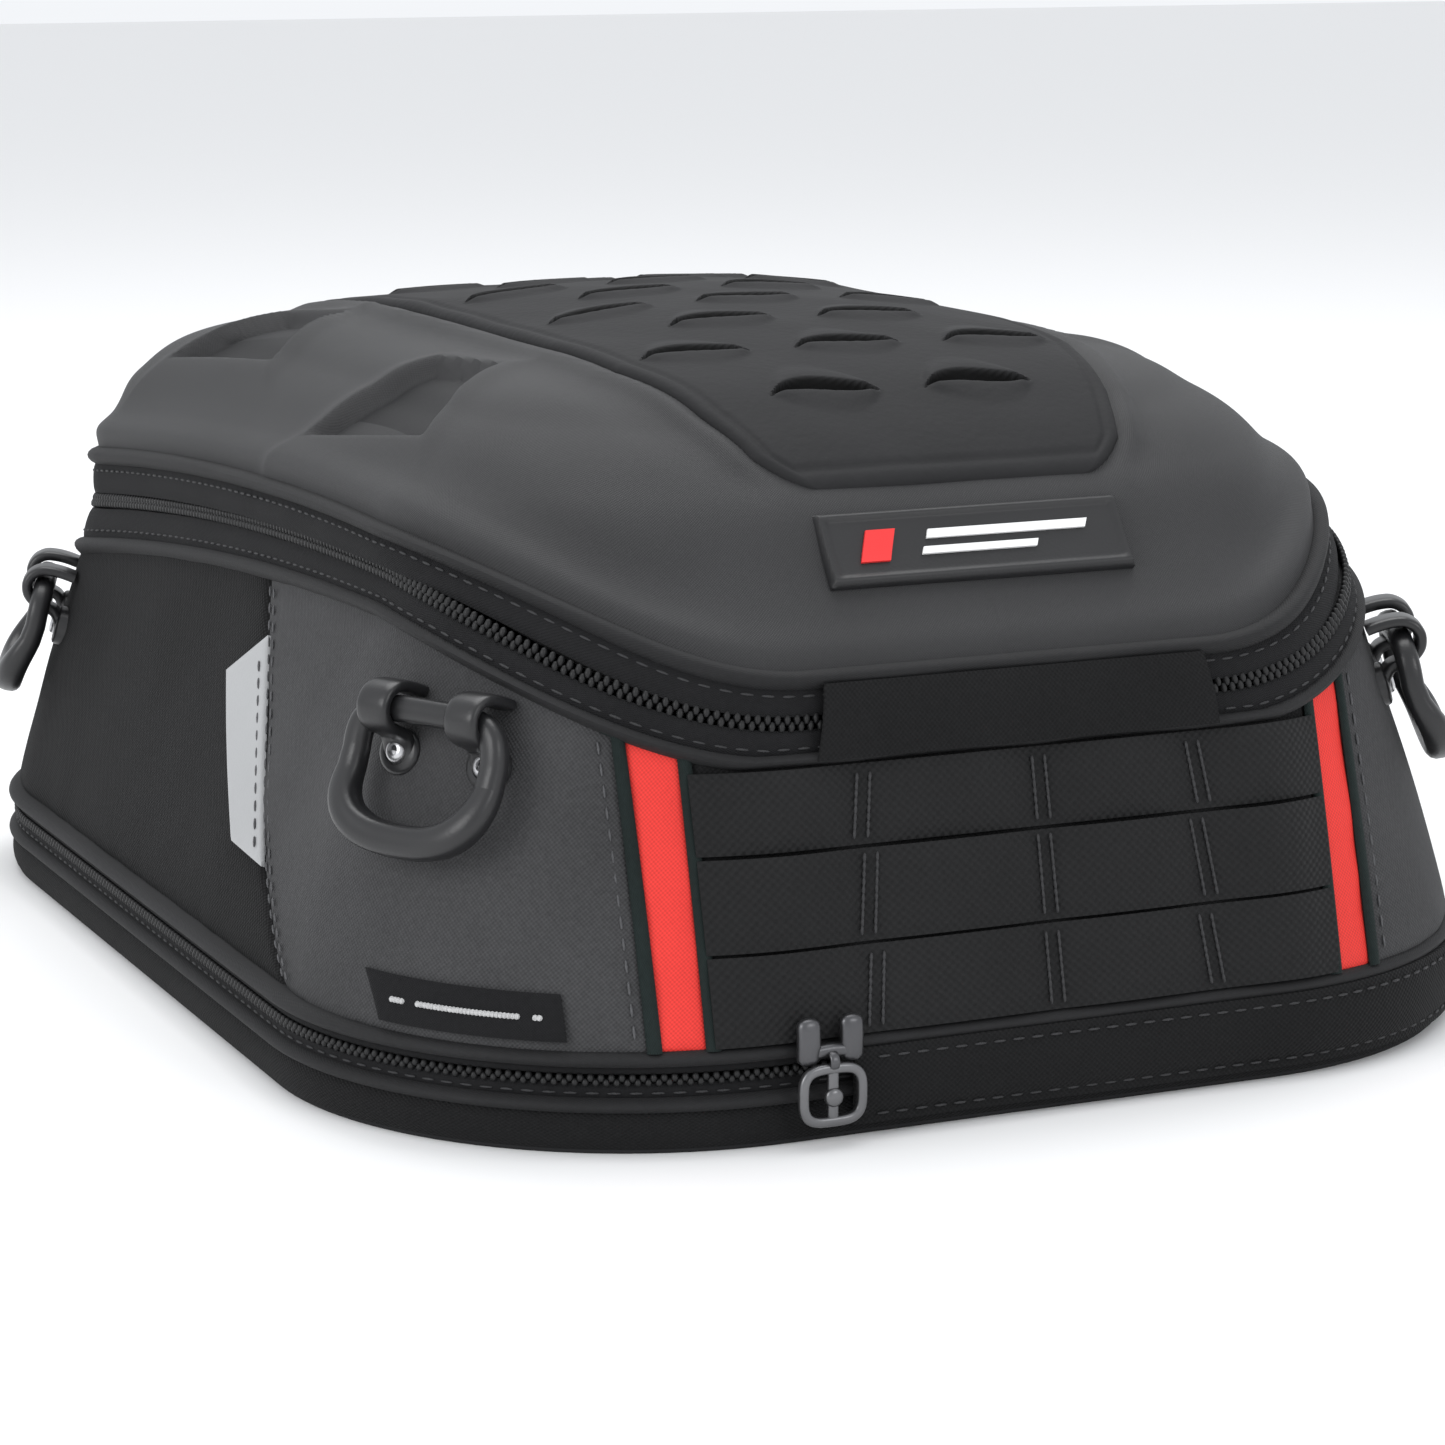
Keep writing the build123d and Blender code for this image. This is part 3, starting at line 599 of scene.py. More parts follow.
def wall_panel(node, left, right, puff, key, step=2.4):
    """Padded wall between two edge lines, from its foot to the zip."""
    middle_left, middle_right = left(np.array(60.0)), right(np.array(60.0))
    a = np.linspace(0.0, 1.0, max(8, int((middle_right - middle_left) / step) + 1))
    b = np.linspace(0.0, 1.0, 44)
    a, b = np.meshgrid(a, b)
    z = WALL_FOOT + b * 75.0
    for _ in range(10):
        s = left(z) + (right(z) - left(z)) * a
        z = WALL_FOOT + b * (zip_line(WALL_LEVELS, s, -TAPE_GAP) - WALL_FOOT)
    width = right(z) - left(z)
    height = z[-1:, :] - WALL_FOOT
    to_side = np.minimum(a, 1 - a) * width
    to_end = np.minimum(b, 1 - b) * height
    base = surface(WALL_LEVELS, s, z)
    swell = puff * (1 - np.exp(-to_side / 9.0)) * (1 - np.exp(-to_end / 9.0)) * (0.45 + 0.55 * ties(base))
    edge = np.exp(-np.minimum(to_side, to_end) / 0.9)
    out = swell * (1 + sag(base, 0.35, 34.0)) - 0.9 * edge + sag(base, 0.18, 15.0) * (1 - edge)
    up_seams = np.sin(z / 2.9 + np.sin(z / 7.0)) * np.exp(-to_side / 5.0)
    along_seams = np.sin(s / 3.3 + np.sin(s / 9.0)) * np.exp(-to_end / 5.0)
    pucker = up_seams + along_seams
    out = out + 0.22 * pucker * (1 - edge)
    obj = patch(f"{node}_visual", WALL_LEVELS, s, z, out, -WALL_THICKNESS, key)
    hand_over(obj, "upper_body", node)


def mirrored(edge):
    """The same edge on the other side of the bag."""
    return lambda z: -edge(z)


def wall_line(s_of_z, low, high, out):
    """Path up the wall between two heights."""
    z = np.linspace(low, high, 40)
    return surface(WALL_LEVELS, s_of_z(z), z, out)


def zip_path(s, rise, out, levels=WALL_LEVELS):
    """Path round the wall at a distance from the zip line."""
    return surface(levels, s, zip_line(levels, s, rise), out)


wall_panel("front_panel", lambda z: front_s(z, -FRONT_HALF), lambda z: front_s(z, FRONT_HALF), 0.6, "canvas")

for side, sign in (("left", -1), ("right", 1)):
    inner_edge = lambda z: front_s(z, FRONT_HALF)
    strip_edge = lambda z: front_s(z, STRIP_HALF)
    rear_edge = lambda z: rear_s(z, REAR_HALF)
    pairs = ((f"red_strip_{side}", inner_edge, strip_edge, 0.5, "red", "red_fabric"),
             (f"side_panel_{side}", strip_edge, edge_s, 2.0, "anthracite", "anthracite_fabric"),
             (f"rear_side_wall_{side}", edge_s, rear_edge, 1.6, "canvas", "black_canvas"))
    for node, start, end, puff, key, slot in pairs:
        if sign < 0:
            start, end = mirrored(end), mirrored(start)
        wall_panel(node, start, end, puff, key, step=2.4 if puff > 0.6 else 1.0)

    # thin dark bindings along both edges of the red strip
    for number, edge_x in enumerate((FRONT_HALF, STRIP_HALF)):
        z = np.linspace(WALL_FOOT + 0.3, 94.0, 70)
        s = front_s(z, edge_x) * sign
        top = zip_line(WALL_LEVELS, s, -PIPING_EDGE)
        z = np.minimum(z, top)
        angles = np.linspace(0, 2 * math.pi, 10, endpoint=False)
        rings = [surface(WALL_LEVELS, s + 1.5 * math.cos(t), z, 0.35 + 0.95 * math.sin(t)) for t in angles]
        rings = np.stack(rings, 1)
        strip_binding = swept(f"strip_binding_{side}_{number}", rings, materials=[M["binding"]])
        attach(strip_binding, "upper_body")
    rows = [(wall_line(lambda z: front_s(z, STRIP_HALF + 3.6) * sign, 24.0, 84.0, 0.75), WALL_MIDDLE),
            (wall_line(lambda z: (edge_s(z) - 4.0) * sign, 24.0, 98.0, 0.95), WALL_MIDDLE),
            (wall_line(lambda z: (edge_s(z) - 7.5) * sign, 24.0, 98.0, 1.25), WALL_MIDDLE)]
    stitch_rows(f"panel_stitches_{side}", rows, M["thread_grey"], "upper_body")

wall_panel("rear_panel", lambda z: rear_s(z, REAR_HALF), lambda z: AROUND - rear_s(z, REAR_HALF), 1.4,
           "canvas")

# ---------------------------------------------------------------- webbing rows

TACKS = (-76.0, -40.0, 4.0, 44.0, 76.0)
for row, low, high, lift in WEBBING_ROWS:
    x = np.linspace(-FRONT_HALF + 0.2, FRONT_HALF - 0.2, 170)
    near = np.min(np.abs(x[:, None] - np.array(TACKS)[None, :]), axis=1)
    bow = lift * (1 - np.exp(-(near / 9.0) ** 2)) + 0.25 * np.sin(x / 9.0) * (1 - np.exp(-(near / 5.0) ** 2))
    profile = rounded_profile(0.0, 1.7, 0.16, 13)
    rings = []
    for share, out in profile:
        z = np.full(x.shape, low + (high - low) * share)
        reach = find_s(WALL_LEVELS, z, 0, np.abs(x), 0.0, KNOTS[2])
        s = np.sign(x) * reach
        rings.append(surface(WALL_LEVELS, s, z, out + 0.3 + bow * (0.55 + 0.45 * share)))
    rings = np.stack(rings, 1)
    run = np.broadcast_to(s[:, None], rings.shape[:2])
    girth = np.broadcast_to(np.array([low + (high - low) * p[0] for p in profile])[None, :], rings.shape[:2])
    strap = swept(f"webbing_{row}_visual", rings, np.stack([run, girth], -1), materials=[M["webbing"]])
    hand_over(strap, "upper_body", f"webbing_{row}")
    paths = []
    for tack in TACKS[1:-1]:
        for shift in (-1.6, 1.6):
            z = np.linspace(low + 1.5, high - 1.5, 12)
            here = np.interp(tack + shift, x, s)
            paths.append((surface(WALL_LEVELS, here, z, 2.35), WALL_MIDDLE))
    stitch_rows(f"webbing_tacks_{row}", paths, M["thread"], "upper_body", pitch=1.7, length=1.1, thick=0.4)

# ---------------------------------------------------------------- reflective tabs and woven label

for side, sign in (("left", -1), ("right", 1)):
    a, b = np.meshgrid(np.linspace(0, 1, 26), np.linspace(0, 1, 40))
    low_side = TAB[3] + (TAB[2] - TAB[3]) * a[..., None]
    high_side = TAB[0] + (TAB[1] - TAB[0]) * a[..., None]
    place = low_side + (high_side - low_side) * b[..., None]
    z = place[..., 1]
    s = find_s(WALL_LEVELS, z, 1, place[..., 0], 0.0, AROUND / 2)
    if sign < 0:
        s, a = -s[:, ::-1], a[:, ::-1]
        z = z[:, ::-1]
    rounding = np.minimum(np.minimum(a, 1 - a) * 26, np.minimum(b, 1 - b) * 60)
    out = 1.7 + 2.6 * a + 0.5 * np.sin(b * 3.0) - 0.5 * np.exp(-rounding / 0.8)
    tab = patch(f"reflective_tab_{side}_visual", WALL_LEVELS, s, z, out, out - 0.9, "reflective")
    hand_over(tab, "upper_body", f"reflective_tab_{side}")
    edge_path = surface(WALL_LEVELS, s[:, 3 if sign > 0 else -4], z[:, 3 if sign > 0 else -4], 2.45)
    stitch_rows(f"tab_stitches_{side}", [(edge_path[2:-2], WALL_MIDDLE)], M["thread_grey"], "upper_body")

a, b = np.meshgrid(np.linspace(0, 1, 60), np.linspace(0, 1, 12))
z = LABEL_FOOT + LABEL_TALL * b
start = find_s(WALL_LEVELS, z, 0, LABEL_START, 0.0, KNOTS[2])
end = find_s(WALL_LEVELS, z, 0, LABEL_END, 0.0, KNOTS[2])
s = -(start + (end - start) * a)
rim = np.minimum(np.minimum(a, 1 - a) * 45, np.minimum(b, 1 - b) * LABEL_TALL)
out = 2.3 - 0.4 * np.exp(-rim / 0.5)
label = patch("woven_label_visual", WALL_LEVELS, s, z, out, 1.4, "label")
hand_over(label, "upper_body", "woven_label")
marks = []
for low_share, high_share in ((0.12, 0.20), (0.27, 0.80), (0.86, 0.90)):
    run = np.linspace(low_share, high_share, 18)
    line_s = np.interp(run, a[0], s[5])
    marks.append(surface(WALL_LEVELS, line_s, 28.6, 2.3))
mark_paths = [(m, WALL_MIDDLE) for m in marks]
stitch_rows("label_marks", mark_paths, M["mark"], "upper_body", pitch=0.9, length=0.7, thick=0.75)

# ---------------------------------------------------------------- main zip

s_round = np.arange(0.0, AROUND, 2.0)


def zip_band(node, levels, low_rise, high_rise, outer, key, body, power, ripple=0.0):
    """Band that runs all round beside the main zip."""
    low = zip_line(levels, s_round, low_rise)
    high = zip_line(levels, s_round, high_rise)
    made = band(f"{node}_visual", levels, s_round, low, high, rounded_profile(0.0, outer, power), ripple,
                materials=[M[key]])
    hand_over(made, body, node)


zip_band("body_zip_piping", WALL_LEVELS, -8.6, -5.8, 3.0, "piping", "upper_body", 0.6)
zip_band("body_zip_tape", WALL_LEVELS, -6.2, -1.3, 1.5, "tape", "upper_body", 0.2, 0.15)
zip_band("lid_piping", LID_LEVELS, 5.8, 8.7, 3.2, "piping", "lid", 0.6)
zip_band("lid_zip_tape", LID_LEVELS, 1.3, 6.2, 1.5, "tape", "lid", 0.2, 0.15)


def teeth(node, levels, spread, out, size, body, height=None, pitch=2.2):
    """Two rows of rounded coil turns that cross a closed zip."""
    s = np.arange(0.0, AROUND, 1.0)
    centre_z = zip_line(levels, s, 0.0) if height is None else np.full(s.shape, height)
    path = surface(levels, s, centre_z, out)
    points, direction = resample(np.concatenate([path, path[:1]]), pitch)
    up = surface(levels, s, centre_z + 1.0, out) - path
    run = np.linspace(0, len(s) - 1, len(points))
    up = np.stack([np.interp(run, np.arange(len(s)), up[:, k]) for k in range(3)], -1)
    normals = np.cross(direction, up)
    made = []
    for row, shift in enumerate((-spread, spread)):
        offset = direction / np.linalg.norm(direction, axis=1, keepdims=True) * pitch * 0.5 * row
        made.append((points + up * shift + offset, up, normals))
    centres = np.concatenate([m[0] for m in made])
    obj = scatter(f"{node}_visual", centres, np.concatenate([m[1] for m in made]),
                  np.concatenate([m[2] for m in made]), size, materials=[M["coil"]])
    hand_over(obj, body, node)


teeth("main_zip_coil", WALL_LEVELS, 0.75, 0.9, (1.25, 0.85, 0.9), "upper_body")
path_s = np.arange(0.0, AROUND, 3.0)
stitch_rows("body_tape_stitches", [(zip_path(path_s, -4.9, 1.45), WALL_MIDDLE)], M["thread"], "upper_body")
stitch_rows("lid_tape_stitches", [(zip_path(path_s, 4.9, 1.45, LID_LEVELS), WALL_MIDDLE)], M["thread"], "lid")

# ---------------------------------------------------------------- hinge flap

s = s_steps(-FLAP_HALF, FLAP_HALF, 1.4)
b = np.linspace(0.0, 1.0, 22)
s_grid, b_grid = np.meshgrid(s, b)
z = FLAP_FOOT + FLAP_TALL * b_grid
out = 3.6 + 0.9 * np.sin(np.pi * b_grid) + 0.25 * np.sin(s_grid / 7.0 + 3 * b_grid)
flap = patch("hinge_flap_visual", WALL_LEVELS, s_grid, z, out, out - 0.9, "canvas")
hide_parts("hinge_flap")
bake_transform(flap)

# ---------------------------------------------------------------- lid shell

def inside_recess(x, y):
    """Distance inside the nearest recess, in millimetres, negative outside."""
    best = np.full(x.shape, -99.0)
    for shift_x, shift_y in ((0.0, 0.0), (-5.0, 122.0)):
        corners = [(cx + shift_x, cy + shift_y) for cx, cy in RECESS_CORNERS]
        depth = np.full(x.shape, 99.0)
        for k in range(4):
            (x0, y0), (x1, y1) = corners[k], corners[(k + 1) % 4]
            length = math.hypot(x1 - x0, y1 - y0)
            across = ((x1 - x0) * (y - y0) - (y1 - y0) * (x - x0)) / length
            depth = np.minimum(depth, across)
        best = np.maximum(best, depth)
    return best


def ridge_x(y):
    """Half distance between the two creases beside the pad."""
    return np.interp(y, [p[0] for p in PAD_SIDE], [p[1] for p in PAD_SIDE]) + 3.2


def smooth_step(x):
    """Smooth rise from 0 to 1."""
    x = np.clip(x, 0.0, 1.0)
    return x * x * (3 - 2 * x)


def lid_grid(shift, s, rows, cap):
    """Grid from the zip line up to the crown and in to its middle."""
    low = zip_line(LID_LEVELS, s, TAPE_GAP)
    t = np.linspace(0.0, 1.0, rows)
    climb = np.sin(t * math.pi / 2) ** 0.95
    z = low[None, :] + (CROWN - low[None, :]) * climb[:, None]
    side = surface(LID_LEVELS, np.broadcast_to(s, z.shape), z, shift)
    q = np.linspace(0.0, 1.0, cap + 1)[1:]
    rim = side[-1]
    middle = np.array((*DOME_MIDDLE, rim[:, 2].mean()))
    top = rim[None] + (middle[None, None] - rim[None]) * q[:, None, None] * 0.985
    top[..., 2] += DOME * np.sin(q * math.pi / 2)[:, None]
    return np.concatenate([side, top])


s_lid = np.arange(0.0, AROUND, 1.5)
lid_out = lid_grid(0.0, s_lid, 110, 16)
normal = grid_normals(lid_out, True)
x, y, z = np.abs(lid_out[..., 0]), lid_out[..., 1], lid_out[..., 2]
above = z - zip_line(LID_LEVELS, np.broadcast_to(s_lid, z.shape), TAPE_EDGE + 2.5)
depth = inside_recess(x, y)
crease = x - ridge_x(y)
on_side = smooth_step((y + 152.0) / 20.0) * smooth_step((140.0 - y) / 30.0)
move = -3.4 * smooth_step((depth + 0.8) / 2.6)
move += 1.3 * np.exp(-(np.maximum(-depth - 2.0, 0.0) / 5.0) ** 2) * (depth < 0) * smooth_step(-depth / 1.5)
move += on_side * (1.7 * np.exp(-(crease / 2.6) ** 2) - 0.6 * np.exp(-((crease - 8.0) / 5.0) ** 2))
to_front = np.exp(-((y + 150.0) / 6.0) ** 2) * smooth_step((56.0 - x) / 14.0)
corner_share = smooth_step((x - 55.0) / 25.0)
move += 0.9 * to_front
move += (0.7 + 1.0 * corner_share) * np.exp(-((above - 4.0) / 3.2) ** 2)
move -= (0.3 + 1.0 * corner_share) * np.exp(-((above - 13.0) / 5.5) ** 2) * smooth_step((above - 5.0) / 5.0)
move += sag(lid_out, 0.35, 42.0) * smooth_step(above / 20.0)
lid_out = lid_out + normal * move[..., None]
lid_in = lid_grid(-4.0, s_lid, 110, 16)
rows, columns = lid_out.shape[:2]
uv = np.stack([np.broadcast_to(s_lid, (rows, columns)), np.cumsum(
    np.concatenate([np.zeros((1, columns)), np.linalg.norm(np.diff(lid_out, axis=0), axis=-1)]), axis=0)], -1)
count = rows * columns
faces = grid_faces(rows, columns, True)
# painted shade: the recess floors are darkened through the shade attribute to stand for the shade in them
painted_recess_mask = smooth_step((depth - 0.8) / 1.6).ravel()
faces += [f[::-1] for f in grid_faces(rows, columns, True, count)]
for j in range(columns):
    k = (j + 1) % columns
    faces.append([j, count + j, count + k, k])
faces.append([(rows - 1) * columns + j for j in range(columns)])
faces.append([count + (rows - 1) * columns + j for j in range(columns)][::-1])
points = np.concatenate([lid_out.reshape(-1, 3), lid_in.reshape(-1, 3)])
lid = make_object("lid_shell_visual", points, faces, np.concatenate([uv.reshape(-1, 2)] * 2), [M["eva"]],
                  np.concatenate([painted_recess_mask, painted_recess_mask * 0]), 50.0)
hand_over(lid, "lid", "lid_shell")

# ---------------------------------------------------------------- top pad


def lid_top(x, y):
    """Height of the lid over a plan point."""
    low = np.full(x.shape, 90.0)
    high = np.full(x.shape, CROWN)
    for _ in range(26):
        middle = (low + high) / 2
        half, front, rear, front_corner, rear_corner = at_height(LID_LEVELS, middle)
        corner = np.where(y < (front + rear) / 2, front_corner, rear_corner)
        mid_y, half_y = (front + rear) / 2, (rear - front) / 2
        qx = np.abs(x) - (half - corner)
        qy = np.abs(y - mid_y) - (half_y - corner)
        gap = np.hypot(np.maximum(qx, 0), np.maximum(qy, 0)) + np.minimum(np.maximum(qx, qy), 0) - corner
        low = np.where(gap < 0, middle, low)
        high = np.where(gap < 0, high, middle)
    gauge = ((np.abs(x) / DOME_HALF[0]) ** 5 + (np.abs(y - DOME_MIDDLE[1]) / DOME_HALF[1]) ** 5) ** 0.2
    return (low + high) / 2 + DOME * np.sin(np.clip(1 - gauge, 0, 1) * math.pi / 2)


def slot_shape(x, y):
    """Slit depth, raised edges and painted wall shade of the pad's slots, each open towards the webbing end.
    """
    sunk = np.zeros(x.shape)
    dark = np.zeros(x.shape)
    lip = np.zeros(x.shape)
    for row in range(SLOT_ROWS):
        slot_y = FIRST_SLOT_Y + SLOT_PITCH * row
        for steps in ((-1, 1) if row % 2 == 0 else (-2, 0, 2)):
            from_middle = x - SLOT_STEP * steps
            half_height = 6.4 * np.clip(1 - (from_middle / 14.0) ** 2, 0, 1)
            v = (y - slot_y + 0.8 * np.sin(from_middle / 4.5)) / np.maximum(half_height, 0.4)
            size = np.clip(half_height / 3.0, 0, 1) * (half_height > 0.3)
            climb = 0.7 * smooth_step((v + 1.3) / 1.2) * smooth_step((0.2 - v) / 0.3)
            far_edge = smooth_step((v - 0.45) / 0.4) * smooth_step((2.6 - v) / 1.7)
            slit = smooth_step((v - 0.05) / 0.25) * smooth_step((0.85 - v) / 0.35)
            # painted shade: the slit's wall is darkened to stand for the shade that falls inside the slit
            wall = smooth_step((v - 0.1) / 0.15) * smooth_step((0.9 - v) / 0.15)
            sunk = np.maximum(sunk, slit * size)
            dark = np.maximum(dark, wall * np.clip(size * 1.4, 0, 1))
            lip = np.maximum(lip, (climb + 0.75 * far_edge) * size)
    return sunk, lip, dark


a = np.linspace(-1.0, 1.0, 210)
b = np.linspace(0.0, 1.0, 460)
a, b = np.meshgrid(a, b)
pad_y = PAD_FRONT + (PAD_REAR - PAD_FRONT) * b
pad_half = np.interp(pad_y, [p[0] for p in PAD_SIDE], [p[1] for p in PAD_SIDE])
corner_cut = np.clip((pad_y - PAD_FRONT) / 9.0, 0, 1)
rear_cut = np.clip((PAD_REAR - pad_y) / 10.0, 0, 1)
pad_half = pad_half - 7.0 * (1 - np.sqrt(1 - (1 - corner_cut) ** 2))
pad_half = pad_half - 8.0 * (1 - np.sqrt(1 - (1 - rear_cut) ** 2))
pad_x = a * pad_half
ground = lid_top(pad_x, pad_y)
for _ in range(60):
    ground[1:-1, 1:-1] = (ground[2:, 1:-1] + ground[:-2, 1:-1] + ground[1:-1, 2:] + ground[1:-1, :-2]) / 4
under = np.stack([pad_x, pad_y, ground], -1)
pad_normal = grid_normals(under)
to_edge = np.minimum((1 - np.abs(a)) * pad_half, np.minimum(pad_y - PAD_FRONT, PAD_REAR - pad_y))
sunk, lip, dark = slot_shape(pad_x, pad_y)
thick = 2.2 * (1 - np.exp(-(to_edge + 0.05) / 0.8)) - 0.5 * np.exp(-((to_edge - 4.0) / 0.9) ** 2)
thick += 1.7 * lip - 2.6 * sunk
thick += 0.25 * sag(under, 1.0, 18.0)
top = under + pad_normal * np.maximum(thick, -1.2)[..., None]
bottom = under - pad_normal * 2.0
# the pad's shade attribute carries the slots' painted shade
pad = skin("top_pad_visual", top, bottom, np.stack([pad_x, pad_y], -1), materials=[M["pad"]],
           shade=np.concatenate([dark.ravel(), dark.ravel() * 0]), smooth=60.0)
hand_over(pad, "lid", "top_pad")

# ---------------------------------------------------------------- lid badge

a, b = np.meshgrid(np.linspace(-1, 1, 90), np.linspace(0, 1, 34))
z = BADGE_FOOT + BADGE_TALL * b
s = front_s(z, BADGE_HALF, LID_LEVELS) * a
x = BADGE_HALF * a
rim = np.minimum((1 - np.abs(a)) * BADGE_HALF, np.minimum(b, 1 - b) * 17.0)
out = 1.0 + 1.3 * smooth_step(rim / 0.8) - 0.6 * smooth_step((rim - 1.6) / 0.6)
badge = patch("lid_badge_visual", LID_LEVELS, s, z, out, -0.6, "badge", 50.0, np.stack([x, z], -1))
hand_over(badge, "lid", "lid_badge")


def badge_shape(name, corners, key, out=2.3):
    """Raised plain shape on the badge: a four-sided patch of (X, height share) corners."""
    corners = np.array(corners, float)
    u, v = np.meshgrid(np.linspace(0, 1, 24), np.linspace(0, 1, 8))
    low = corners[0] + (corners[1] - corners[0]) * u[..., None]
    high = corners[3] + (corners[2] - corners[3]) * u[..., None]
    place = low + (high - low) * v[..., None]
    z = BADGE_FOOT + BADGE_TALL * place[..., 1]
    s = front_s(z, 1.0, LID_LEVELS) * place[..., 0]
    obj = patch(name, LID_LEVELS, s, z, out, 1.0, key, 40.0, place)
    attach(obj, "lid")
    return obj


badge_shape("badge_mark_red", ((-29.0, 0.28), (-22.0, 0.28), (-19.0, 0.72), (-26.0, 0.72)), "badge_red")
badge_shape("badge_bar_upper", ((-12.0, 0.56), (27.0, 0.56), (28.0, 0.68), (-11.2, 0.68)), "badge_white")
badge_shape("badge_bar_lower", ((-14.0, 0.34), (14.0, 0.34), (14.8, 0.44), (-13.2, 0.44)), "badge_white")

# ---------------------------------------------------------------- base


def rounded_band(node, low, high, inner, base, bulge, key, body, power, ripple=0.0):
    """Band with a straight inside and a rounded outer face."""
    shares = np.linspace(0.0, 1.0, 9)
    face = [(t, base + bulge * math.sin(math.pi * min(max(t, 0.02), 0.98)) ** power) for t in shares]
    profile = face + [(1.0, -inner), (0.0, -inner)]
    low_line, high_line = np.full(s_round.shape, low), np.full(s_round.shape, high)
    made = band(f"{node}_visual", BASE_LEVELS, s_round, low_line, high_line, profile, ripple,
                materials=[M[key]])
    hand_over(made, body, node)


rounded_band("base_band", 1.2, 9.2, 6.0, -1.4, 1.6, "canvas", "base", 0.4, 0.15)
rounded_band("base_piping", 8.9, 12.2, 6.0, -1.4, 2.4, "piping", "base", 0.6)
rounded_band("base_zip_tape", 12.0, 15.2, 6.0, -2.0, 0.7, "tape", "base", 0.3)
rounded_band("upper_base_tape", 17.2, 19.2, 6.0, -2.0, 0.7, "tape", "upper_body", 0.3)
rounded_band("foot_piping", 18.8, 22.2, 11.0, -1.4, 2.2, "piping", "upper_body", 0.6)
teeth("base_zip_coil", BASE_LEVELS, 0.5, -1.3, (0.95, 0.85, 0.9), "base", 16.0)
tape_row = surface(BASE_LEVELS, path_s, 13.2, -1.2)
stitch_rows("base_tape_stitches", [(tape_row, WALL_MIDDLE)], M["thread"], "base")


def plate(node, inset, low, high, edge, key, dome=0.0, quilt=0.0):
    """Flat plate with rounded edges that fills the base outline."""
    s = np.arange(0.0, AROUND, 4.0)
    shrink = np.linspace(0.0, 1.0, 40)
    upper, lower = [], []
    steps = ((low + edge, inset), (high - edge, inset), (high - edge * 0.3, inset + edge * 0.3),
             (high, inset + edge))
    rim = [surface(BASE_LEVELS, s, z, -inward) for z, inward in steps]
    middle = np.array((0.0, 0.0, high))
    for q in shrink[1:]:
        grown = rim[3] + (middle - rim[3]) * q * 0.995
        x, y = grown[:, 0], grown[:, 1]
        seams = np.minimum(np.abs((x + y) % 50.0 - 25.0), np.abs((x - y) % 50.0 - 25.0))
        quilting = quilt * (1 - np.exp(-seams / 6.0)) * smooth_step(q / 0.08)
        grown[:, 2] = high + dome * smooth_step(q / 0.1) + quilting
        upper.append(grown)
    base = surface(BASE_LEVELS, s, low, -(inset + edge))
    for q in shrink[::-1][:-1]:
        grown = base + (np.array((0.0, 0.0, low)) - base) * q * 0.995
        grown[:, 2] = low
        lower.append(grown)
    grid = np.stack(lower + [base] + rim + upper)
    rows, columns = grid.shape[:2]
    faces = grid_faces(rows, columns, True)
    faces.append(list(range(columns))[::-1])
    faces.append([(rows - 1) * columns + j for j in range(columns)])
    made = make_object(f"{node}_visual", grid.reshape(-1, 3), faces, grid[..., :2], [M[key]], None, 50.0)
    return hand_over(made, "base", node)


plate("anti_slip_underlay", 1.2, 0.0, 1.5, 0.5, "grip")
plate("base_board", 6.5, 1.5, 4.5, 0.5, "board")
floor_pad = plate("floor_pad", 10.5, 4.6, 7.4, 1.2, "felt", 0.2, 1.6)

# bellows gusset: its folds hold the cloth that the lift of the upper body needs
fold_path = [(GUSSET_FOOT, GUSSET_OUT), (FOLDS_FOOT, GUSSET_OUT)]
for leg in range(GUSSET_LEGS):
    height = FOLDS_FOOT + FOLDS_TALL * (leg + 1) / GUSSET_LEGS
    fold_path.append((height, GUSSET_OUT - GUSSET_FOLD if leg % 2 == 0 else GUSSET_OUT))
fold_path.append((GUSSET_HEAD, GUSSET_OUT))
fold_path = np.array(fold_path)
run = np.concatenate(([0.0], np.cumsum(np.linalg.norm(np.diff(fold_path, axis=0), axis=1))))
along = np.linspace(0.0, run[-1], 110)
z = np.interp(along, run, fold_path[:, 0])
fold = np.interp(along, run, fold_path[:, 1])
s_gusset = np.arange(0.0, AROUND, 5.0)
s_grid, z_grid = np.meshgrid(s_gusset, z)
run_grid = np.broadcast_to(along[:, None], s_grid.shape)
fold_grid = np.broadcast_to(fold[:, None], s_grid.shape)
lean = np.broadcast_to(np.gradient(z, along)[:, None], s_grid.shape)
inward = np.broadcast_to(np.gradient(fold, along)[:, None], s_grid.shape)
gusset = skin("expansion_gusset_visual", surface(BASE_LEVELS, s_grid, z_grid, fold_grid),
              surface(BASE_LEVELS, s_grid, z_grid + 0.3 * inward, fold_grid - 0.3 * lean),
              np.stack([s_grid, run_grid], -1), True, materials=[M["canvas"]], smooth=40.0)
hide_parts("expansion_gusset")
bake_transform(gusset)

# ---------------------------------------------------------------- linings and mesh pocket

b = np.linspace(0.0, 1.0, 34)
s_grid, b_grid = np.meshgrid(s_round, b)
z = WALL_FOOT + 0.4 + b_grid * (zip_line(WALL_LEVELS, s_grid, -2.2) - WALL_FOOT - 0.4)
wall = surface(WALL_LEVELS, s_grid, z)
out = -4.6 - 0.5 - 0.5 * sag(wall, 1.0, 24.0)
lining = patch("inner_lining_visual", WALL_LEVELS, s_grid, z, -4.05, out, "lining", around=True)
hand_over(lining, "upper_body", "inner_lining")

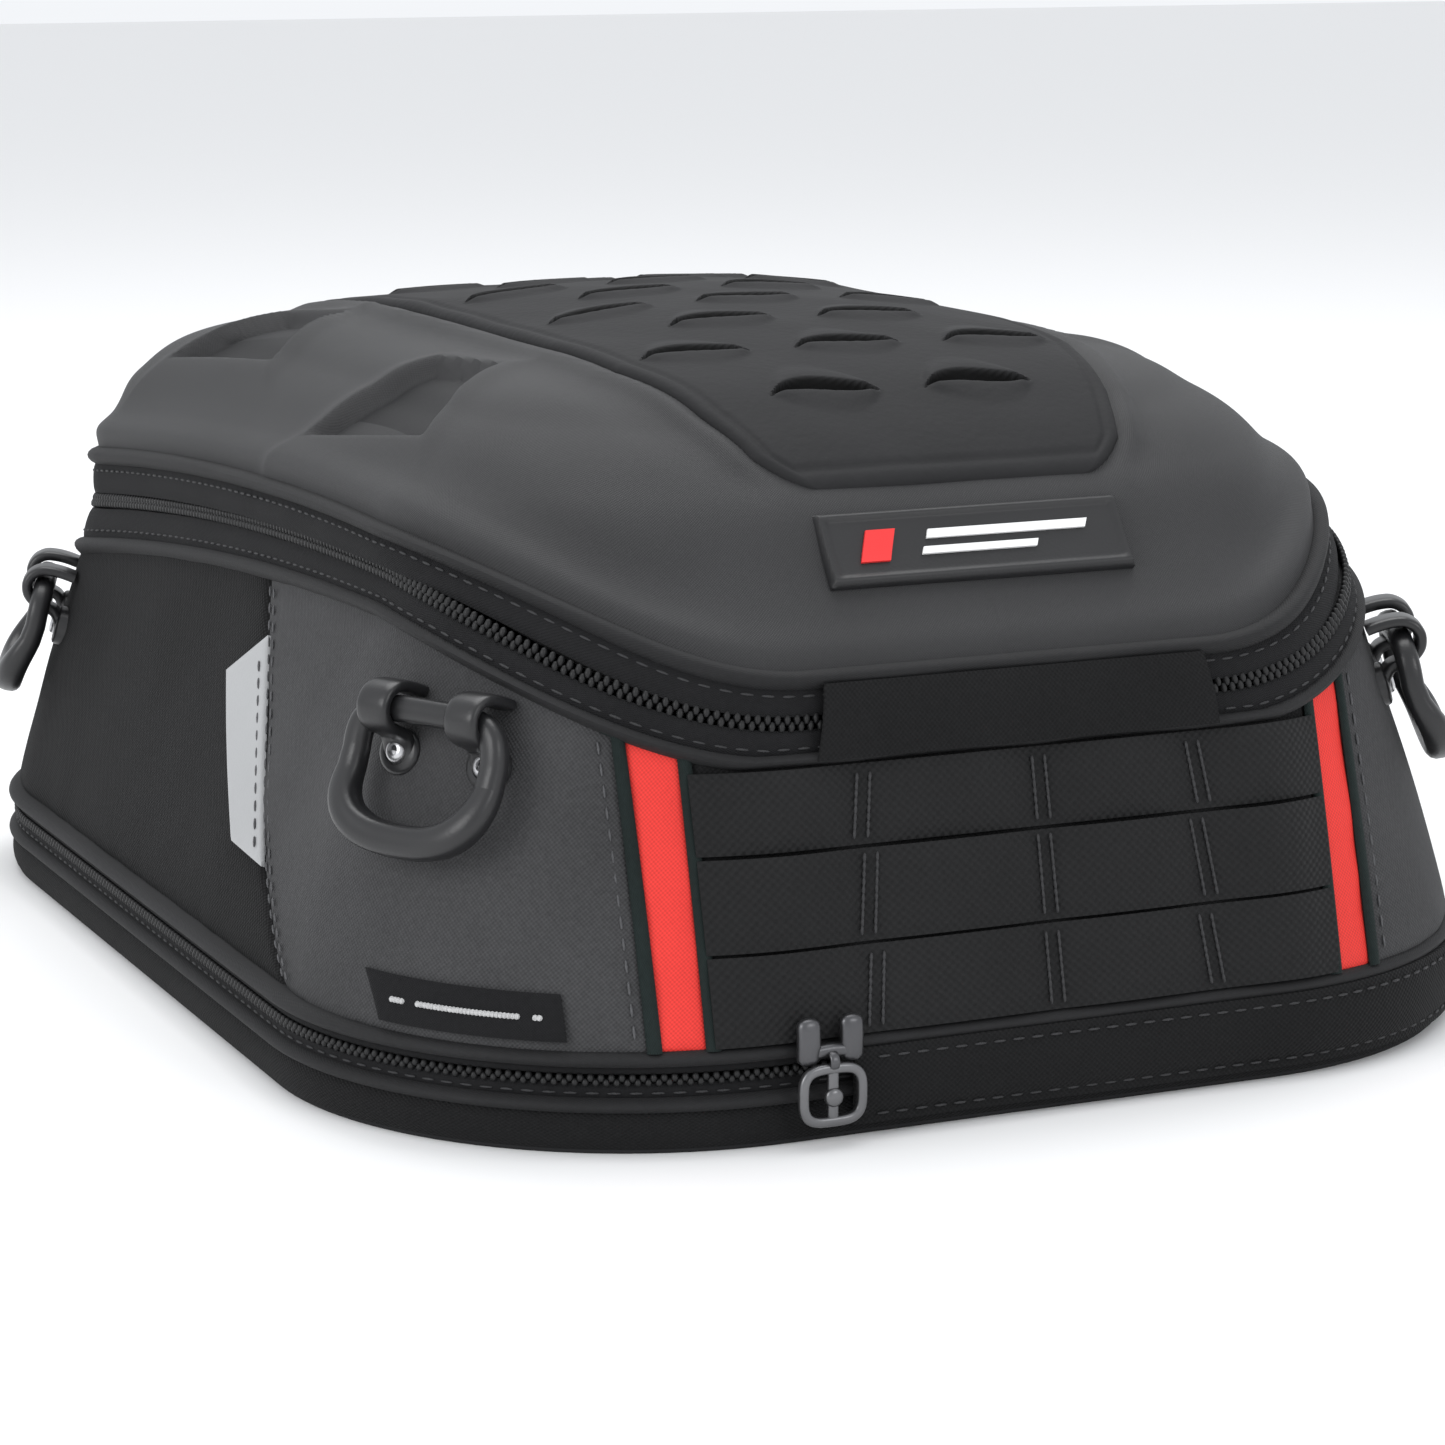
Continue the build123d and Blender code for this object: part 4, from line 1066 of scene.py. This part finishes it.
s_low = np.arange(0.0, AROUND, 4.0)
lining_out = lid_grid(-4.05, s_low, 40, 8)
lining_in = lid_grid(-5.0, s_low, 40, 8)
uv = np.stack([np.broadcast_to(s_low, lining_out.shape[:2]), lining_out[..., 2]], -1)
lid_lining = skin("lid_lining_visual", lining_out, lining_in, uv, True, materials=[M["lining"]], smooth=60.0)
hand_over(lid_lining, "lid", "lid_lining")

net_x = np.arange(-NET_HALF, NET_HALF + 0.1, NET_CELL)
net_y = np.arange(NET_FRONT, NET_REAR + 0.1, NET_CELL)
strands = []
for line, fixed in [(net_x, y) for y in net_y] + [(net_y, x) for x in net_x]:
    along_x = len(line) == len(net_x)
    x = line if along_x else np.full(line.shape, fixed)
    y = np.full(line.shape, fixed) if along_x else line
    depth = np.clip(1 - (x / NET_HALF) ** 2, 0, 1) * np.clip(1 - ((y - 17.0) / 78.0) ** 2, 0, 1)
    strands.append(np.stack([x, y, NET_HEIGHT - 3.0 * depth], -1))
centres = np.concatenate([(st[:-1] + st[1:]) / 2 for st in strands])
along = np.concatenate([st[1:] - st[:-1] for st in strands])
net = scatter("lid_mesh_pocket_visual", centres, along, np.broadcast_to((0.0, 0.0, 1.0), centres.shape),
              (NET_CELL * 0.62, 0.6, 0.6), materials=[M["mesh"]])
hand_over(net, "lid", "lid_mesh_pocket")
turns = np.linspace(0.0, 2 * math.pi, 120, endpoint=False)
hem_rows = []
for inset in (0.0, 0.6, 3.5, 6.4, 7.0):
    across = (NET_HALF - inset) * np.sign(np.cos(turns)) * np.abs(np.cos(turns)) ** 0.22
    length = 17.5 + (78.0 - inset) * np.sign(np.sin(turns)) * np.abs(np.sin(turns)) ** 0.22
    crown = 0.0 if inset in (0.0, 7.0) else 0.3
    hem_rows.append(np.stack([across, length, np.full(turns.shape, 131.5 + crown)], -1))
hem_top = np.stack(hem_rows)
hem_below = hem_top - np.array((0.0, 0.0, 0.9))
hem = skin("mesh_pocket_hem", hem_top, hem_below, hem_top[..., :2], True, materials=[M["binding"]],
           smooth=50.0)
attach(hem, "lid")

# ---------------------------------------------------------------- zip cover on the base

cover_s = s_steps(-40.0, KNOTS[2] + 60.0, 2.0)
cover_b = np.linspace(0.0, 1.0, 20)
s_grid, b_grid = np.meshgrid(cover_s, cover_b)
z = COVER_FOOT + COVER_TALL * b_grid
out = 1.0 + 1.5 * np.sin(np.pi * np.clip(b_grid * 0.9 + 0.05, 0, 1))
out = out + 0.2 * np.sin(s_grid / 11.0 + 4.0 * b_grid)
out = out + 0.5 * np.exp(-((b_grid - 0.12) / 0.05) ** 2) * -1.0
cover = patch("base_zip_cover", BASE_LEVELS, s_grid, z, out, out - 1.1, "canvas")
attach(cover, "base")
cover_rows = [(surface(BASE_LEVELS, cover_s[2:-2], z, out), WALL_MIDDLE)
              for z, out in ((5.0, 1.45), (17.6, 1.95))]
stitch_rows("base_cover_stitches", cover_rows, M["thread"], "base")

# ---------------------------------------------------------------- strap rings, sliders and pulls


def wall_place(end, side, height, angle, tilt):
    """Point and axes on a wall corner: along the pivot bar, up the wall, outwards."""
    here = at_height(WALL_LEVELS, np.array(height))
    half, front, rear, front_corner, rear_corner = [float(v) for v in here]
    corner = front_corner if end == "front" else rear_corner
    side_sign = -1 if side == "left" else 1
    end_sign = -1 if end == "front" else 1
    reach = front if end == "front" else rear
    turn, lean = math.radians(angle), math.radians(tilt)
    level = np.array((side_sign * math.cos(turn), end_sign * math.sin(turn), 0.0))
    origin = np.array((side_sign * (half - corner), reach - end_sign * corner, height)) + level * corner
    outward = level * math.cos(lean) + np.array((0.0, 0.0, math.sin(lean)))
    bar = np.array((-level[1], level[0], 0.0))
    return origin, bar, np.cross(outward, bar), outward


def to_place(place, points):
    """Local (along, up, out) points on a place."""
    origin, along, up, out = place
    points = np.asarray(points, float)
    return origin + points[..., 0:1] * along + points[..., 1:2] * up + points[..., 2:3] * out


def oval_tube(path, wide, thick, closed=True, sides=16, power=0.75):
    """Rings of an oval cross-section along a local path: wide across the path, thick outwards."""
    path = np.asarray(path, float)
    ahead = np.roll(path, -1, 0) - np.roll(path, 1, 0) if closed else np.gradient(path, axis=0)
    ahead = ahead / np.linalg.norm(ahead, axis=1, keepdims=True)
    outward = np.array((0.0, 0.0, 1.0)) - ahead * ahead[:, 2:3]
    outward = outward / np.linalg.norm(outward, axis=1, keepdims=True)
    across = np.cross(ahead, outward)
    wide = np.broadcast_to(wide, len(path))[:, None]
    thick = np.broadcast_to(thick, len(path))[:, None]
    rings = []
    for turn in np.linspace(0, 2 * math.pi, sides, endpoint=False):
        c = math.copysign(abs(math.cos(turn)) ** power, math.cos(turn))
        d = math.copysign(abs(math.sin(turn)) ** power, math.sin(turn))
        rings.append(path + across * wide * c + outward * thick * d)
    return np.stack(rings, 1)


def joined(node, groups, key, body):
    """One object from several tubes, each (rings, closed)."""
    points, faces, start = [], [], 0
    for rings, closed in groups:
        count, around = rings.shape[:2]
        faces += [f[::-1] for f in grid_faces(count, around, True, start)]
        last = start + (count - 1) * around
        if closed:
            for j in range(around):
                k = (j + 1) % around
                faces.append([last + j, last + k, start + k, start + j])
        else:
            faces.append([start + j for j in range(around)])
            faces.append([last + j for j in range(around)][::-1])
        points.append(rings.reshape(-1, 3))
        start += count * around
    points = np.concatenate(points)
    obj = make_object(f"{node}_visual", points, faces, points[:, :2], [M[key]], None, 45.0)
    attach(obj, body)
    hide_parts(node)
    return obj


def capped(path, wide, thick, sides=14, power=0.8):
    """Open oval tube whose ends close in a rounded tip."""
    path = np.asarray(path, float)
    first, last = path[0], path[-1]
    grow = np.array([0.15, 0.6, 0.88, 1.0])
    start_dir = (path[0] - path[1]) / np.linalg.norm(path[0] - path[1])
    end_dir = (path[-1] - path[-2]) / np.linalg.norm(path[-1] - path[-2])
    reach = min(np.min(wide), np.min(thick))
    tips = np.sqrt(1 - grow ** 2) * reach
    first_tip, last_tip = first + start_dir * tips[:, None], last + end_dir * tips[:, None]
    full = np.concatenate([first_tip, path[1:-1], last_tip[::-1]])
    scale = np.concatenate([grow, np.ones(len(path) - 2), grow[::-1]])
    new, old = np.linspace(0, 1, len(full)), np.linspace(0, 1, len(path))
    wide = np.interp(new, old, np.broadcast_to(wide, len(path)))
    thick = np.interp(new, old, np.broadcast_to(thick, len(path)))
    return oval_tube(full, wide * scale, thick * scale, False, sides, power)


def strap_over(path, x, wide, thick, sides=18):
    """Flat strap that follows a path of (up, out) points at one place along the bar."""
    path = np.asarray(path, float)
    fine = np.linspace(0, len(path) - 1, 5 * len(path))
    path = np.stack([np.interp(fine, np.arange(len(path)), path[:, k]) for k in range(2)], -1)
    for _ in range(4):
        path[1:-1] = (path[2:] + path[:-2] + 2 * path[1:-1]) / 4
    ahead = np.gradient(path, axis=0)
    ahead /= np.linalg.norm(ahead, axis=1, keepdims=True)
    rings = []
    for turn in np.linspace(0, -2 * math.pi, sides, endpoint=False):
        c = math.copysign(abs(math.cos(turn)) ** 0.4, math.cos(turn))
        d = math.copysign(abs(math.sin(turn)) ** 0.6, math.sin(turn))
        rings.append(np.stack([np.full(len(path), x + wide * c), path[:, 0] - ahead[:, 1] * thick * d,
                               path[:, 1] + ahead[:, 0] * thick * d], -1))
    return np.stack(rings, 1)


RING_PLACES = (("front", 86.5, 27.0, 16.8), ("rear", 74.0, 18.0, 17.1))
CLIP_HALF, SCREW_UP = 12.5, -9.0
LUG_FOOT_STEPS = ((5.6, -2.0), (5.6, 1.1), (5.3, 1.7), (4.6, 2.0), (3.4, 2.1), (3.2, 1.8))
SCREW_STEPS = ((2.6, 1.8), (2.6, 2.5), (2.35, 3.0), (1.8, 3.35), (1.25, 3.45), (1.15, 3.3), (1.1, 2.4))
LUG_PATH = ((-11.0, 0.6), (-8.0, 1.2), (-5.4, 3.2), (-4.9, 6.0), (-4.4, 9.2), (-2.6, 11.4), (0.0, 12.2),
            (2.6, 11.4), (4.4, 9.2), (4.9, 6.0), (4.9, 3.2), (4.6, 0.4))
turns = np.linspace(0, 2 * math.pi, 96, endpoint=False)
for end, height, angle, tilt in RING_PLACES:
    for side in ("left", "right"):
        place = wall_place(end, side, height, angle, tilt)
        c, d = np.cos(turns), np.sin(turns)
        power = np.where(d > 0, 0.45, 0.8)
        loop_x = 19.6 * np.sign(c) * np.abs(c) ** power
        loop_y = -13.9 + 13.9 * np.sign(d) * np.abs(d) ** power
        low_share = smooth_step((-loop_y - 10.0) / 17.0)
        kick = 7.5 + 2.6 * low_share - 0.6 * np.exp(-((loop_y + 12.0) / 6.0) ** 2)
        rings = oval_tube(np.stack([loop_x, loop_y, kick], -1), 2.9 + 0.8 * low_share, 2.7 + 1.1 * low_share)
        joined(f"strap_ring_{end}_{side}", [(to_place(place, rings), True)], "ring", f"ring_{end}_{side}")
        lugs = []
        for x in (-CLIP_HALF, CLIP_HALF):
            lugs.append((to_place(place, strap_over(LUG_PATH, x, 4.3, 1.35)), False))
            foot = [[(x + radius * math.cos(t), SCREW_UP + radius * 0.92 * math.sin(t), out)
                     for t in np.linspace(0, -2 * math.pi, 28, endpoint=False)]
                    for radius, out in LUG_FOOT_STEPS]
            lugs.append((to_place(place, np.array(foot)), False))
        joined(f"ring_clip_{end}_{side}", lugs, "ring", "upper_body")

# screws with a domed head and a small round socket
screw_groups = []
for end, height, angle, tilt in RING_PLACES:
    for side in ("left", "right"):
        place = wall_place(end, side, height, angle, tilt)
        for x in (-CLIP_HALF, CLIP_HALF):
            rings = [[(x + radius * math.cos(t), SCREW_UP + radius * math.sin(t), out)
                      for t in np.linspace(0, -2 * math.pi, 24, endpoint=False)]
                     for radius, out in SCREW_STEPS]
            screw_groups.append((to_place(place, np.array(rings)), False))
screws = joined("ring_screws", screw_groups, "steel", "upper_body")


def slider_set(place, pull_place, half_width, pull_half, length, bodies, nodes, tab):
    """Zip slider with two horns and its hanging pull, in local (along, up, out)."""
    slider_body, puller_body = bodies
    slider_node, puller_node = nodes
    w = half_width
    horns = []
    for x in (-0.62 * w, 0.62 * w):
        path = [(x, 2.6 + 7.0 * k / 6, 1.7 + 0.25 * math.sin(k / 6 * math.pi)) for k in range(7)]
        horns.append((to_place(place, capped(path, 0.33 * w, 1.7)), False))
    bridge = [(-0.6 * w + 1.2 * w * k / 8, 3.4 + 0.5 * math.sin(k / 8 * math.pi), 1.7) for k in range(9)]
    horns.append((to_place(place, capped(bridge, 1.5, 1.55)), False))
    loop = [(0.0, 1.8 + 3.4 * math.cos(t) * 0.55, 2.2 + 2.3 * math.sin(t))
            for t in np.linspace(-0.4, 2.6, 12)]
    horns.append((to_place(place, capped(loop, 1.1, 0.55)), False))
    slider = joined(slider_node, horns, "slider", slider_body)
    parts = []
    w, place = pull_half, pull_place
    frame_low = -length * (0.36 if tab else 0.86)
    middle, half_height = (0.3 + frame_low) / 2, (0.3 - frame_low) / 2
    c, d = np.cos(turns), np.sin(turns)
    loop_x = (w - 1.2) * np.sign(c) * np.abs(c) ** 0.55
    loop_y = middle + half_height * np.sign(d) * np.abs(d) ** 0.6
    pull_frame = oval_tube(np.stack([loop_x, loop_y, np.full(96, 3.3)], -1), 1.15, 1.1)
    parts.append((to_place(place, pull_frame), True))
    if tab:
        path = [(0.0, frame_low - 0.5 + (-length + 2.0 - frame_low) * k / 9, 3.3) for k in range(10)]
        grow = w * (0.55 + 0.35 * np.sin(np.linspace(0.3, 2.6, 10)))
        parts.append((to_place(place, capped(path, grow, 1.15)), False))
    else:
        path = [(0.0, -0.6 + (frame_low + 0.9) * k / 6, 3.3) for k in range(7)]
        parts.append((to_place(place, capped(path, 1.3, 0.9)), False))
        rings = [[(2.1 * g * math.cos(t), middle - 0.4 + 2.1 * g * math.sin(t), out)
                  for t in np.linspace(0, -2 * math.pi, 20, endpoint=False)]
                 for g, out in ((1.0, 3.4), (1.0, 4.2), (0.8, 4.7), (0.4, 4.95))]
        parts.append((to_place(place, np.array(rings)), False))
    pull = joined(puller_node, parts, "puller", puller_body)


along, up = np.array((1.0, 0.0, 0.0)), np.array((0.0, 0.0, 1.0))
front_place = (np.array((-52.0, -191.6, 17.0)), along, up, np.array((0.0, -1.0, 0.0)))
slider_set(front_place, front_place, 8.0, 8.0, 13.0, ("base_slider", "base_puller"),
           ("base_zip_slider", "base_zip_puller"), False)
hang = math.radians(17.0)
for side, sign in (("left", -1), ("right", 1)):
    origin = np.array((sign * 7.0, 171.8, 85.0))
    outward = np.array((0.0, math.cos(hang), math.sin(hang)))
    rear_place = (origin, -along, up, np.array((0.0, 1.0, 0.0)))
    axle = origin + np.array((0.0, 3.4, 0.0))
    pull_place = (axle - outward * 3.4, -along, np.cross(outward, -along), outward)
    slider_set(rear_place, pull_place, 5.0, 4.0, 26.0, (f"main_slider_{side}", f"main_puller_{side}"),
               (f"main_zip_slider_{side}", f"main_zip_puller_{side}"), True)

# ---------------------------------------------------------------- stage, light and camera

bpy.ops.mesh.primitive_plane_add(size=12.0, location=(0.0, 0.0, 0.0))
floor = bpy.context.object
floor.name = "floor"
floor_look = Nodes("floor_look", 0.9, 0.1)
floor_look.shader.inputs["Base Color"].default_value = (0.86, 0.86, 0.86, 1.0)
floor.data.materials.append(floor_look.material)

world = bpy.data.worlds.new("studio")
bpy.context.scene.world = world
world.use_nodes = True
world.node_tree.nodes["Background"].inputs[0].default_value = (0.95, 0.97, 1.0, 1.0)
world.node_tree.nodes["Background"].inputs[1].default_value = 0.95


def softbox(name, location, size, power):
    """Area light that faces the bag."""
    data = bpy.data.lights.new(name, "AREA")
    data.shape = "RECTANGLE"
    data.size, data.size_y = size
    data.energy = power
    obj = bpy.data.objects.new(name, data)
    bpy.context.collection.objects.link(obj)
    obj.location = location
    obj.rotation_euler = (Vector((0.0, 0.0, 0.07)) - Vector(location)).to_track_quat("-Z", "Y").to_euler()
    return obj


softbox("top_light", (0.15, 0.35, 1.5), (1.2, 1.2), 14.0)
softbox("left_light", (-1.6, -0.5, 0.8), (0.8, 0.8), 10.0)
softbox("front_light", (0.6, -1.7, 0.9), (0.7, 0.6), 5.0)
bpy.context.scene.view_settings.view_transform = "Standard"

LOOK_AT = Vector((0.0025, -0.018, 0.0535))
TURNED, RAISED, DISTANCE = math.radians(24.3), math.radians(11.6), 1.050
BEHIND = Vector((-math.sin(TURNED) * math.cos(RAISED), -math.cos(TURNED) * math.cos(RAISED),
                 math.sin(RAISED)))
camera_data = bpy.data.cameras.new("camera")
camera_data.lens = 104.4
camera_data.sensor_width = 36.0
camera_data.clip_end = 30.0
camera = bpy.data.objects.new("camera", camera_data)
bpy.context.collection.objects.link(camera)
camera.location = LOOK_AT + BEHIND * DISTANCE
camera.rotation_euler = (-BEHIND).to_track_quat("-Z", "Y").to_euler()
bpy.context.scene.camera = camera
